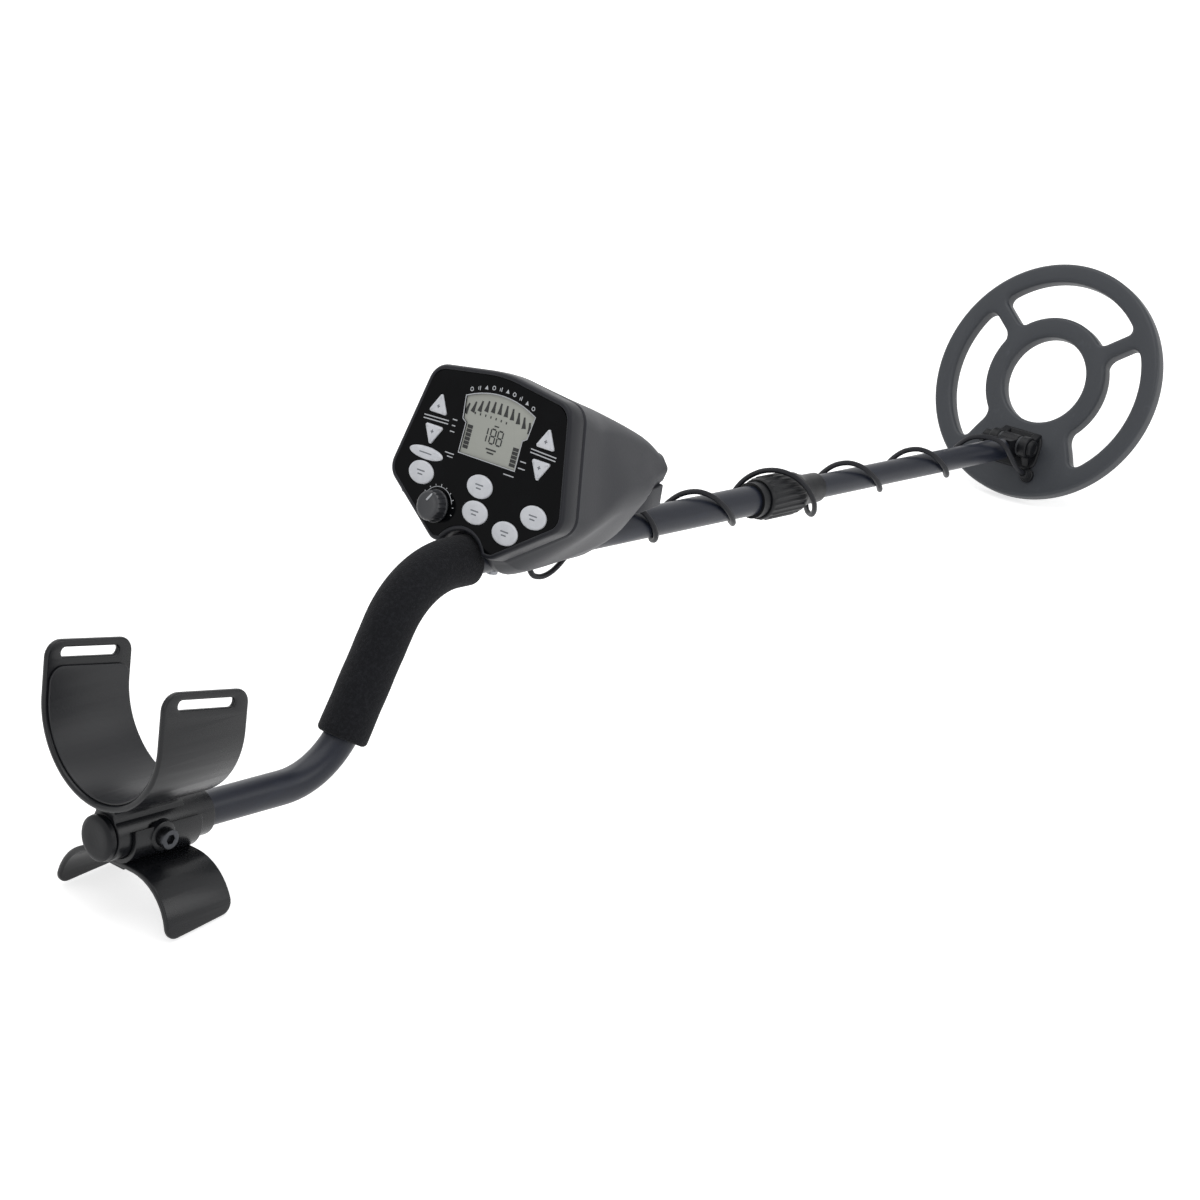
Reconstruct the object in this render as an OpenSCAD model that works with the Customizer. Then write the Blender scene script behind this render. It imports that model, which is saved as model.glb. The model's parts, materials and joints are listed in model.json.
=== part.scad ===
// Hand-held metal detector: bent pole with arm cuff and stand, control housing,
// telescopic lower stem and an open, spoked search coil on a tilting hinge.
// Millimetres, +Z up, +X towards the coil, standing on its stand and the coil's rim.

/* [Pole] */
// Outer diameter of the upper tube
tube_d = 22.2; // [20:0.1:24]
// Wall of the upper tube
tube_wall = 2; // [1.6:0.1:2.4]
// Front straight stretch, from the front corner to the tube's mouth
front_run = 402; // [380:1:430]
// Rear straight stretch, from the rear corner to the tube's end
rear_run = 183; // [175:1:200]
// Height between the rear and the front straight stretches
step_h = 128; // [118:1:138]
// Slope of the grip stretch
grip_slope = 64.4; // [60:0.1:70]
// Centreline radius of both bends
bend_r = 60; // [50:1:65]
// Slope of the whole pole as the detector stands
pitch = 8.2; // [6:0.1:10]

/* [Grip] */
// Outer diameter of the foam grip
foam_d = 34; // [30:0.5:36]
// How far the grip reaches past the start of the rear bend
foam_past = 12; // [0:1:14]

/* [Arm cuff and stand] */
// Inside width of the cuff
cuff_in_w = 100; // [90:1:110]
// Wall of the cuff
cuff_wall = 4; // [3:0.5:5]
// Length of the cuff along the pole
cuff_len = 66; // [55:1:75]
// Height of the cuff's rear top corners above the tube's axis
cuff_h = 109; // [100:1:118]
// Slope of the cuff's top edges
cuff_top_slope = 8; // [0:1:12]
// Length of the strap slots
slot_len = 44; // [36:1:48]
// Width of the strap slots
slot_w = 6; // [5:0.5:8]
// Wall of the sleeve round the tube
sleeve_wall = 3.8; // [3:0.1:5]
// Length of the sleeve
sleeve_len = 76; // [72:1:84]
// Thickness of the cuff's liner
liner_t = 1.6; // [1:0.1:3]
// Width of the stand along the pole
stand_len = 52; // [44:1:56]
// Distance between the stand's feet, from middle to middle
stand_span = 100; // [90:1:110]
// Thickness of the stand's legs
stand_t = 4; // [3:0.5:5]
// Radius of the clamp bolt's shank
clamp_bolt_r = 3; // [2.5:0.1:3]

/* [Control housing] */
// Width of the face
face_w = 156; // [148:1:162]
// Height of the face's crown above the tube's axis, along the face
face_h = 127; // [124:1:132]
// How far the face leans forward at its top
face_lean = 12.5; // [10:0.5:14]
// Where the face's plane meets the tube's axis
face_x = 41; // [39:0.5:44]
// Depth of the front frame
frame_d = 15; // [14:0.5:17]
// Where the blunt front end of the housing is
nose_x = 209; // [206:1:214]
// Wall of the housing
shell_wall = 3; // [2.5:0.1:3.5]
// Thickness of the glossy panel
overlay_t = 0.8; // [0.6:0.1:1]
// How far the keys stand out of the panel
key_out = 1; // [0.6:0.1:1.4]
// Press of the keys
key_travel = 0.8; // [0.5:0.1:0.9]
// Diameter of the sensitivity knob
knob_d = 22; // [18:0.5:24]
// Height of the knob
knob_h = 9; // [7:0.5:12]

/* [Lower stem] */
// Outer diameter of the lower stem
stem_d = 18; // [17:0.1:18]
// Wall of the lower stem
stem_wall = 1.6; // [1.2:0.1:2]
// Stem that shows in front of the upper tube's mouth
stem_out = 297; // [280:1:310]
// Stem that is inside the upper tube
stem_in = 285; // [270:1:290]
// Outer diameter of the locking collar
collar_d = 31; // [30.4:0.2:34]

/* [Search coil] */
// Outer diameter of the coil
coil_d = 203.2; // [196:0.2:210]
// Thickness of the coil
coil_t = 13.4; // [12:0.1:15]
// Radial width of the outer ring
ring_w = 16; // [14:0.5:18]
// Diameter of the hole in the middle
hole_d = 74; // [68:1:78]
// Radial width of the inner ring
hub_w = 17.5; // [16:0.5:19]
// Width of the two front spokes
spoke_w = 13; // [10:0.5:16]
// Angle of the front spokes from straight ahead
spoke_angle = 52; // [45:1:60]
// Half the angle of the wide rear web
web_angle = 38; // [34:1:42]
// Slope of the coil to the floor as the detector stands
coil_slope = 58.6; // [50:0.1:64]
// Distance from the coil's middle back to the hinge
hinge_back = 61; // [59:0.5:63]
// Height of the hinge above the coil
hinge_h = 11; // [10.5:0.1:12]
// Radius of the hinge bolt
hinge_r = 4; // [3:0.1:4.5]

/* [Cable] */
// Diameter of the coil's cable
cable_d = 4; // [3.5:0.1:4]

/* [Hidden] */
$fn = 64;

// Clearances
slip = 0.1;            // a fixed piece in or round another, radial
run = 0.05;            // a turning fit, radial
clear = 0.3;           // between pieces that move past each other

// Pole, in its own frame: X along the front stretch, origin at the front corner
tube_r = tube_d / 2;
bore_r = tube_r - tube_wall;
tangent = bend_r * tan(grip_slope / 2);
grip_len = step_h / sin(grip_slope);
rear_x = -grip_len * cos(grip_slope);
tube_end_x = rear_x - rear_run;
stem_r = min(stem_d / 2, bore_r - slip);
stem_bore_r = stem_r - stem_wall;
foam_r = foam_d / 2;
foam_in = 9;           // grip's end inside the housing
bend_step = 0.05;      // difference in radius between a bend and the straights seated in it
bend_seat = 0.5;       // how far a straight is seated in a bend

// Coil, in its own frame: origin in the middle of its upper face, X forward
coil_r = coil_d / 2;
ring_in_r = coil_r - ring_w;
hub_in_r = hole_d / 2;
hub_r = hub_in_r + hub_w;
coil_edge = 2;         // rounding of the coil's lower edges
coil_top_edge = 3.5;   // rounding of the coil's upper edges
cover_t = 2;           // bottom cover of the coil
channel_wall = 3;      // plastic beside the windings
winding_t = 3.2;       // height of the windings

// Hinge, in the pole's frame
yoke_reach = 17;       // stem's tip to the hinge
yoke_rise = 3;         // hinge above the stem's axis
stem_tip_x = front_run + stem_out;
hinge_x = stem_tip_x + yoke_reach;

// How the pole stands: the coil's lower rim touches the floor
low_x = coil_r - coil_edge - hinge_back;
low_z = coil_t - coil_edge + hinge_h;
hinge_floor = low_x * sin(coil_slope) + low_z * cos(coil_slope) + coil_edge;
pole_z = hinge_floor + hinge_x * sin(pitch) - yoke_rise * cos(pitch);
cap_t = 5;             // end cap outside the tube
front_reach = hinge_x * cos(pitch) + yoke_rise * sin(pitch)
    + (coil_r - coil_edge + hinge_back) * cos(coil_slope) + low_z * sin(coil_slope) + coil_edge;
rear_reach = (cap_t - tube_end_x) * cos(pitch) + (step_h + tube_r) * sin(pitch);
pole_x = (rear_reach - front_reach) / 2;

// Cuff and stand, in the pole's frame
sleeve_r = tube_r + slip + sleeve_wall;
cuff_r = cuff_in_w / 2 + cuff_wall;
neck_h = 5;            // cuff's floor above the sleeve
neck_w = 20;
cuff_low = sleeve_r - step_h + neck_h;
cuff_mid = cuff_low + cuff_r;
cuff_back = tube_end_x - 8;
cuff_corner = 9;
sleeve_back = tube_end_x + 1;
clamp_x = tube_end_x + 32;
saddle_t = 3.6;        // stand's saddle round the sleeve
saddle_r = sleeve_r + slip + saddle_t;
pad_r = 9;             // round pads under the clamp bolt's head and nut
head_r = 6.5;
head_h = 6;
leg_r = 34;            // centreline of the legs' curve
strap_drop = 1.2;      // legs' strap below the saddle's lowest line
socket_r = 3.2;        // hexagon socket of the clamp bolt

// Face, in its own frame: X into the housing, Y to the left, Z up the face
lip_w = 3.4;           // frame's lip round the panel
lip_out = 0.4;         // lip in front of the panel
plate_x = lip_out + overlay_t;
plate_t = 2.5;
plate_back = plate_x + plate_t;
notch_gap = 3.5;       // frame's notch round the grip
notch_r = foam_r + notch_gap;
top_corner = [60.5 / 78 * face_w / 2, face_h - 7];
side_corner = [face_w / 2, 43];
low_corner = [27, 8.5];
face_mid = 66;
lcd_pos = [-3, 90];
lcd_size = [66, 50];
knob_pos = [28.5, 30];
oval = [11, 7.7];
bar = [15, 4.2];
arrow = [17, 14];
key_flange = [1.2, 0.4];   // how far a key's flange reaches, sideways and upwards
key_flange_t = 1;
mat_x = plate_back + clear + key_flange_t + key_travel + 0.2;
mat_t = 1.4;
board_x = mat_x + mat_t + 0.6;
board_t = 1.6;
// Keys: name, place on the face, kind
KEYS = [
    ["mode_up", [47.5, 88.5], "up"], ["mode_down", [47.5, 80.5], "down"],
    ["tune_up", [-47.5, 88.5], "up"], ["tune_down", [-47.5, 80.5], "down"],
    ["notch", [48.5, 61.1], "bar"], ["power", [48.5, 48], "oval"],
    ["pinpoint", [-3.2, 51.7], "oval"], ["tone", [-4.8, 34.6], "oval"],
    ["accept", [-52.8, 44.3], "oval"], ["reject", [-33.3, 28.4], "oval"]];
screw_pos = [[45, 111], [-45, 111], [60, 34], [-66, 58]];

// Housing sections behind the face, in the pole's frame
belly_x = 128;         // fullest section
keel_x = 166;          // where the underside starts to sweep up
keel_z = 5;
lip_z = -9;            // lips beside the tube
lip_y = 14;
nose_top = 61;
nose_low = 41;
nose_w = 72;
floor_z = 15;          // inside floor above the tube
door_back = 172;
door_front = nose_x - 7;
door_low = 18;
door_w = [44, 62];     // width at the bottom and at the top
door_wall = 2;
tongue_x = nose_x - 19;
seat_r = tube_r + slip;
phone_pos = [18, 51];
phone_r = 3.3;
coil_plug_pos = [142, 22];
screw_xs = [78, 98];
post_l = 18;           // screw posts behind the frame

// Batteries
bat = [48.5, 26.5, 17.5];
bat_x = 120;
tray_t = 1.5;
bat_gap = 0.4;         // between each battery and the middle, and beside the tray's walls
tray_w = 2 * (bat[1] + 2 * bat_gap + tray_t);

// Locking collar
lock_r = 13.4;
lock_back = front_run - 44;
collar_back = front_run - 36;
collar_nose = front_run + 37;

// Hinge pieces
tongue_w = 16;
ear_gap = 2.4;         // room for a washer beside the tongue
ear_t = 8;
ear_in = tongue_w / 2 + ear_gap;
ear_out = ear_in + ear_t;
eye_r = 8.5;
ear_r = 9;

// Cable, in the pole's frame: by hand from the plug to the first turn, a helix in even
// turns, and by hand again from the last turn to the gland
wind_r = tube_r + cable_d / 2 + 0.3;
stem_wind_r = stem_r + cable_d / 2 + 1.2;
rib_r = 1;
collar_wind_r = collar_d / 2 + rib_r + cable_d / 2 + 1.2;
gland_pos = [-82, -19];
gland_h = 9;
first_low = 245;       // where the cable first passes under the tube
wind_pitch = 94;
wind_steps = 53;       // steps of 30 degrees after the first pass
lift = 2;              // slack of each turn at its top
lead_in = [[142, 22, -19.5], [142, 22, -24], [143.5, 22, -28.5], [148, 22, -32.5], [156, 21.6, -34],
    [164, 21, -32], [171, 20, -27], [177, 18.4, -19.5], [182, 16.6, -11]];
lead_out = [[668, 0, 14], [677, -7, 12.6], [684, -12.4, 7.6], [689, -15.4, 1], [693.5, -17.3, -5.2],
    [698, -18.5, -10.4], [703, -19, -14.2], [708, -19, -16.4], [712, -19, -18.2]];

// ---------- outlines and placing ----------

function unit(v) = v / norm(v);
function turn_between(a, b) = let (d = b - a) d > 180 ? d - 360 : d < -180 ? d + 360 : d;

// Points of a polygon whose corners are rounded, each with its own radius
function rounded(points, radii, steps = 6) = [
    for (i = [0 : len(points) - 1])
        let (
            p = points[i],
            a = unit(points[(i + len(points) - 1) % len(points)] - p),
            b = unit(points[(i + 1) % len(points)] - p),
            half = acos(a * b) / 2,
            r = radii[i % len(radii)],
            mid = p + unit(a + b) * r / sin(half),
            from_p = p + a * r / tan(half) - mid,
            to_p = p + b * r / tan(half) - mid,
            start = atan2(from_p[1], from_p[0]),
            sweep = turn_between(start, atan2(to_p[1], to_p[0]))
        )
        for (s = [0 : steps]) mid + r * [cos(start + sweep * s / steps), sin(start + sweep * s / steps)]
];
function ellipse_points(half, n = 32) = [for (i = [0 : n - 1]) [half[0] * cos(360 * i / n), half[1] * sin(360 * i / n)]];
function box_points(size, at = [0, 0]) = [
    at + [-size[0] / 2, -size[1] / 2], at + [size[0] / 2, -size[1] / 2],
    at + [size[0] / 2, size[1] / 2], at + [-size[0] / 2, size[1] / 2]];

// From the pole's frame to the floor
module rod() {
    translate([pole_x, 0, pole_z]) rotate([0, pitch, 0]) children();
}
// From the face's frame to the pole's
module face() {
    translate([face_x, 0, 0]) rotate([0, face_lean, 0]) children();
}
// A flat outline in Y and Z, extruded along X from x0 to x1
module slab_x(x0, x1) {
    translate([x0, 0, 0]) rotate([90, 0, 90]) linear_extrude(x1 - x0) children();
}
// A flat outline in X and Z, extruded along Y over a width about y = 0
module slab_y(width) {
    translate([0, width / 2, 0]) rotate([90, 0, 0]) linear_extrude(width) children();
}
module rod_x(r, x0, x1, y = 0, z = 0) {
    translate([x0, y, z]) rotate([0, 90, 0]) cylinder(r = r, h = x1 - x0);
}
module cone_x(r0, r1, x0, x1, y = 0, z = 0) {
    translate([x0, y, z]) rotate([0, 90, 0]) cylinder(r1 = r0, r2 = r1, h = x1 - x0);
}
module rod_y(r, y0, y1, x = 0, z = 0) {
    translate([x, y0, z]) rotate([-90, 0, 0]) cylinder(r = r, h = y1 - y0);
}
// From the coil's frame to the floor
module coil() {
    rod() translate([hinge_x, 0, yoke_rise]) rotate([0, -coil_slope - pitch, 0])
        translate([hinge_back, 0, -hinge_h]) children();
}

// ---------- pole ----------

// One bend of the pole
module bend(r) {
    translate([tangent, 0, -bend_r]) rotate([90, 0, 0]) rotate([0, 0, 90])
        rotate_extrude(angle = grip_slope) translate([bend_r, 0]) circle(r);
}
// Straight stretch down the slope, from the front bend to a distance from the front corner
module slope_run(r, to) {
    rotate([0, 180 - grip_slope, 0]) rod_x(r, tangent - bend_seat, to);
}
// The rear half of the pole is the front half turned round the middle of the slope
module rear_half() {
    translate([rear_x, 0, -step_h]) rotate([0, 180, 0]) children();
}
// The pole's whole line: straights of one radius, seated in bends of another
module pole_line(r, r_bend, front, rear) {
    bend(r_bend);
    rear_half() bend(r_bend);
    rod_x(r, tangent - bend_seat, front);
    rear_half() rod_x(r, tangent - bend_seat, rear);
    slope_run(r, grip_len - tangent + bend_seat);
}
module upper_tube() {
    color("#23262d") rod() difference() {
        pole_line(tube_r, tube_r + bend_step, front_run, rear_run);
        pole_line(bore_r, bore_r - bend_step, front_run + 1, rear_run + 1);
        rod_y(clamp_bolt_r + slip, -tube_d, tube_d, clamp_x, -step_h);
        for (x = screw_xs) translate([x, 0, -tube_d]) cylinder(r = 2.2, h = 2 * tube_d);
    }
}
module tube_end_cap() {
    color("#1b1c1e") rod() translate([tube_end_x, 0, -step_h]) {
        rod_x(bore_r - slip, 0, 14);
        rotate([0, -90, 0]) rotate_extrude()
            polygon(concat([[0, 0], [sleeve_r - 0.6, 0]],
                [for (a = [0 : 10 : 90]) [sleeve_r - 0.6 - cap_t * 0.8 * (1 - cos(a)), 1 + (cap_t - 1) * sin(a)]],
                [[0, cap_t]]));
    }
}
module foam_grip() {
    color("#18191a") rod() difference() {
        union() {
            bend(foam_r + bend_step);
            rod_x(foam_r, tangent - bend_seat, face_x + foam_in);
            slope_run(foam_r, grip_len - tangent + foam_past);
        }
        pole_line(tube_r + slip + bend_step, tube_r + slip, front_run, rear_run);
    }
}

// ---------- arm cuff and stand ----------

module cuff_outline(r, rise) {
    translate([0, cuff_mid]) circle(r, $fn = 96);
    translate([-r, cuff_mid]) square([2 * r, rise]);
}
// Side view of the cuff, cut back by an inset at the ends and by a drop at the top
module cuff_side(inset = 0, drop = 0, corner = cuff_corner) {
    top = cuff_h - step_h - drop;
    fall = (cuff_len - inset) * tan(cuff_top_slope);
    polygon(rounded([
        [cuff_back + inset, cuff_low - 1], [cuff_back + cuff_len - inset, cuff_low - 1],
        [cuff_back + cuff_len - inset, top - fall], [cuff_back + inset, top]],
        [1, 1, corner, corner]));
}
module strap_slot() {
    mid_x = cuff_back + cuff_len / 2;
    top = cuff_h - step_h - cuff_len / 2 * tan(cuff_top_slope);
    translate([mid_x, 0, top - 5 - slot_w / 2]) rotate([0, cuff_top_slope, 0]) slab_y(4 * cuff_r)
        polygon(rounded(box_points([slot_len, slot_w]), [slot_w / 2 - 0.1]));
}
module arm_cuff() {
    color("#1d1e20") rod() difference() {
        union() {
            intersection() {
                slab_x(cuff_back, cuff_back + cuff_len) difference() {
                    cuff_outline(cuff_r, cuff_h);
                    cuff_outline(cuff_r - cuff_wall, cuff_h + 1);
                }
                slab_y(3 * cuff_r) cuff_side();
            }
            intersection() {
                translate([sleeve_back, -neck_w / 2, -step_h])
                    cube([cuff_back + cuff_len - 2 - sleeve_back, neck_w, sleeve_r + neck_h + 8]);
                slab_x(cuff_back, cuff_back + cuff_len) difference() {
                    translate([-neck_w / 2, -step_h]) square([neck_w, 60]);
                    cuff_outline(cuff_r - cuff_wall / 2, cuff_h);
                }
            }
            rod_x(sleeve_r, sleeve_back, sleeve_back + sleeve_len, 0, -step_h);
        }
        rod_x(tube_r + slip, sleeve_back - 1, sleeve_back + sleeve_len + 1, 0, -step_h);
        rod_y(clamp_bolt_r + slip, -tube_d, tube_d, clamp_x, -step_h);
        strap_slot();
    }
}
module cuff_liner() {
    color("#232426") rod() intersection() {
        slab_x(cuff_back, cuff_back + cuff_len) difference() {
            cuff_outline(cuff_r - cuff_wall - 0.05, cuff_h);
            cuff_outline(cuff_r - cuff_wall - 0.05 - liner_t, cuff_h + 1);
        }
        slab_y(3 * cuff_r) cuff_side(2.5, 5 + slot_w + 5, 7);
    }
}
module leg_outline() {
    leg_y = stand_span / 2 - leg_r;
    leg_z = -step_h - saddle_r + stand_t / 2 - leg_r - strap_drop;
    for (side = [-1, 1]) {
        intersection() {
            translate([side * leg_y, leg_z]) difference() {
                circle(leg_r + stand_t / 2, $fn = 96);
                circle(leg_r - stand_t / 2, $fn = 96);
            }
            translate([side > 0 ? leg_y : -leg_y - 2 * leg_r, leg_z]) square(2 * leg_r);
        }
        translate([side * stand_span / 2 - stand_t / 2, leg_z - 40]) square([stand_t, 40.01]);
    }
    translate([-leg_y, leg_z + leg_r - stand_t / 2]) square([2 * leg_y, stand_t]);
}
module stand() {
    stand_back = clamp_x - 21;
    foot_x = (stand_back + stand_len / 2) * cos(pitch) - (step_h + 45) * sin(pitch) + pole_x;
    color("#1d1e20") difference() {
        intersection() {
            rod() union() {
                slab_x(stand_back, stand_back + stand_len) leg_outline();
                difference() {
                    rod_x(saddle_r, stand_back, stand_back + stand_len, 0, -step_h);
                    translate([stand_back - 1, -saddle_r - 1, 7 - step_h]) cube([stand_len + 2, 2 * saddle_r + 2, 30]);
                }
                rod_y(pad_r, -saddle_r - 0.6, saddle_r + 0.6, clamp_x, -step_h);
            }
            translate([foot_x, 0, 0]) slab_y(3 * cuff_r)
                polygon(rounded([[-stand_len / 2 - 2, 0], [stand_len / 2 + 2, 0], [stand_len / 2 + 16, 140], [-stand_len / 2 - 2, 140]],
                    [8, 12, 1, 1]));
        }
        rod() {
            rod_x(sleeve_r + slip, stand_back - 1, stand_back + stand_len + 1, 0, -step_h);
            rod_y(clamp_bolt_r + slip, -2 * saddle_r, 2 * saddle_r, clamp_x, -step_h);
        }
    }
}
module clamp_bolt() {
    face_y = saddle_r + 0.6;
    color("#2a2b2d") rod() difference() {
        union() {
            rod_y(head_r, -face_y - head_h, -face_y, clamp_x, -step_h);
            rod_y(clamp_bolt_r, -face_y - 1, face_y + 7, clamp_x, -step_h);
        }
        translate([clamp_x, -face_y - head_h - 0.01, -step_h]) rotate([-90, 0, 0])
            cylinder(r = socket_r, h = 3.6, $fn = 6);
    }
}
module clamp_nut() {
    face_y = saddle_r + 0.6;
    color("#2a2b2d") rod() difference() {
        translate([clamp_x, face_y, -step_h]) rotate([-90, 0, 0]) cylinder(r = head_r - 0.5, h = 5, $fn = 6);
        rod_y(clamp_bolt_r + run, face_y - 1, face_y + 6, clamp_x, -step_h);
    }
}

// ---------- control housing ----------

function face_corners() = [
    low_corner, side_corner, top_corner, [0, face_h + 1],
    [-top_corner[0], top_corner[1]], [-side_corner[0], side_corner[1]], [-low_corner[0], low_corner[1]]];
function face_outline(inset = 0) = [
    for (p = rounded(face_corners(), [10, 13, 15, 100, 15, 13, 10]))
        [p[0] * (1 - 2 * inset / face_w), face_mid + (p[1] - face_mid) * (1 - inset / (face_h - face_mid))]];

// Outline of a key, grown sideways and upwards
function key_points(kind, grow) =
    kind == "bar" ? ellipse_points(bar + grow)
    : kind == "oval" ? ellipse_points(oval + grow)
    : let (side = kind == "up" ? 1 : -1, w = arrow[0] / 2 + 1.5 * grow[0], h = arrow[1] + 2 * grow[1])
        rounded([[-side * w, -side * grow[1]], [side * w, -side * grow[1]], [0, side * h]], [1.2]);
module key_shape(k, grow = [0, 0]) {
    translate(k[1]) polygon(key_points(k[2], grow));
}
// One key, pressed towards +X of the face: cap, flange behind the plate and stem to the mat
module key_cap(k) {
    color("#c9ccd0") rod() face() {
        slab_x(lip_out - key_out, plate_back + clear + key_flange_t) key_shape(k);
        intersection() {
            slab_x(plate_back + clear, plate_back + clear + key_flange_t) key_shape(k, key_flange);
            slab_x(plate_back, mat_x) polygon(face_outline(shell_wall + clear));
        }
        slab_x(plate_back + clear, mat_x - key_travel - 0.1) key_shape(k, [-2, -2]);
    }
}
// Outline of the display's opening in the panel: a fan above a plain rectangle
function lcd_opening() = concat(
    [[24.5, 69], [24.5, 89], [28, 91]],
    [for (a = [-1 : 0.2 : 1]) [-30 * a, 112 - 6.5 * a * a]],
    [[-28, 91], [-24.5, 89], [-24.5, 69]]);

module face_frame() {
    color("#2e3033") rod() face() difference() {
        union() {
            difference() {
                union() {
                    slab_x(1.6, frame_d) polygon(face_outline());
                    slab_x(0, 1.6) polygon(face_outline(1));
                }
                slab_x(-1, plate_x) difference() {
                    polygon(face_outline(lip_w));
                    circle(notch_r + lip_w);
                }
                slab_x(plate_back, frame_d + 1) polygon(face_outline(shell_wall));
            }
            for (p = screw_pos) rod_x(4, plate_back - 0.1, frame_d, p[0], p[1]);
        }
        rod_x(notch_r, -1, frame_d + 1);
        slab_x(plate_x - 1, plate_back + 1) polygon(box_points(lcd_size, lcd_pos));
        for (k = KEYS) slab_x(plate_x - 1, mat_x) key_shape(k, [clear, clear]);
        rod_x(4, plate_x - 1, plate_back + 1, knob_pos[0], knob_pos[1]);
        for (p = screw_pos) {
            rod_x(1.5, plate_x - 1, frame_d + 1, p[0], p[1]);
            rod_x(3.1, plate_x - 1, plate_x + 1.9, p[0], p[1]);
        }
    }
}
module face_panel() {
    color("#07080a") rod() face() slab_x(lip_out, plate_x) difference() {
        polygon(face_outline(lip_w + 0.2));
        circle(notch_r + lip_w + 0.2);
        translate([lcd_pos[0], 0]) polygon(lcd_opening());
        for (k = KEYS) key_shape(k, [clear, clear]);
        translate(knob_pos) circle(4);
    }
}
module lcd_window() {
    color("#aab0a8") rod() face() slab_x(plate_x + 0.1, plate_x + 1.6)
        polygon(box_points(lcd_size - [0.4, 0.4], lcd_pos));
}
module lcd_module() {
    color("#8f948c") rod() face() {
        slab_x(plate_x + 1.9, mat_x - 0.4) polygon(box_points(lcd_size - [1, 1], lcd_pos));
        slab_x(mat_x - 0.41, board_x) polygon(box_points(lcd_size - [8, 12], lcd_pos));
    }
}
module key_mat() {
    color("#3b3d40") rod() face() slab_x(mat_x, mat_x + mat_t) difference() {
        polygon(face_outline(9));
        polygon(box_points(lcd_size + [1, 31], lcd_pos + [0, 15]));
        circle(notch_r + lip_w + 1);
        translate(knob_pos) circle(9.2);
        for (p = screw_pos) translate(p) circle(5);
    }
}
module circuit_board() {
    color("#1f5a35") rod() face() slab_x(board_x, board_x + board_t) difference() {
        polygon(face_outline(8));
        circle(notch_r + lip_w + 1);
        translate(knob_pos) circle(9.2);
        for (p = screw_pos) translate(p) circle(5);
    }
}
module face_screws() {
    color("#8c8f93") rod() face() for (p = screw_pos) {
        rod_x(2.9, plate_x + 0.2, plate_x + 1.9, p[0], p[1]);
        rod_x(1.4, plate_x + 1.8, frame_d + 14, p[0], p[1]);
    }
}
module potentiometer() {
    color("#6f7276") rod() face() difference() {
        union() {
            rod_x(8.4, plate_back, board_x + 4, knob_pos[0], knob_pos[1]);
            rod_x(3.9, plate_x - 0.4, plate_back + 0.1, knob_pos[0], knob_pos[1]);
        }
        rod_x(3 + run, plate_x - 2, plate_back + 2, knob_pos[0], knob_pos[1]);
    }
}
module knob_shaft() {
    color("#9a9ca0") rod() face() rod_x(3, -knob_h + 2, plate_back + 1.6, knob_pos[0], knob_pos[1]);
}
module sensitivity_knob() {
    color("#232427") rod() face() translate([0, knob_pos[0], knob_pos[1]]) difference() {
        union() {
            cone_x(knob_d / 2 - 1.2, knob_d / 2, -knob_h, -1.5);
            rod_x(knob_d / 2, -1.5, 0);
        }
        rod_x(3 + slip / 2, -knob_h + 1.9, 1);
        for (a = [0 : 30 : 330]) rotate([a, 0, 0]) rod_x(1.1, -knob_h - 1, -2, 0, knob_d / 2);
    }
}

// Section of the housing behind the face, drawn with an inset for the inside
module body_section(x, half_w, top, low, inset) {
    shoulder = half_w * 0.6;
    slab_x(x, x + 0.1) polygon(rounded([
        [lip_y - inset, low + inset], [half_w * 0.55, low + 13 + inset],
        [half_w - inset, top * 0.36], [half_w - inset, top * 0.6], [shoulder, top - inset],
        [-shoulder, top - inset], [-half_w + inset, top * 0.6], [-half_w + inset, top * 0.36],
        [-half_w * 0.55, low + 13 + inset], [-lip_y + inset, low + inset]],
        [1, 20, 12, 20, 18, 18, 20, 12, 20, 1], 5));
}
module nose_section(x, inset) {
    slab_x(x, x + 0.1) polygon(rounded([
        [nose_w / 2 - inset, nose_low + inset], [nose_w / 2 - inset, nose_top - inset],
        [-nose_w / 2 + inset, nose_top - inset], [-nose_w / 2 + inset, nose_low + inset]],
        [3, 9, 9, 3], 5));
}
module body_hull(inset = 0) {
    hull() {
        face() slab_x(frame_d, frame_d + 0.1) polygon(face_outline(inset));
        body_section(belly_x, 67, 101, lip_z, inset);
        body_section(keel_x, 54, 86, keel_z - 9, inset);
        nose_section(nose_x - 0.1 - inset, inset);
    }
}
module door_outline(inset = 0) {
    polygon([
        [-door_w[0] / 2 + inset, door_low + inset], [door_w[0] / 2 - inset, door_low + inset],
        [door_w[1] / 2 - inset, nose_low - clear - inset], [-door_w[1] / 2 + inset, nose_low - clear - inset]]);
}
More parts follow.
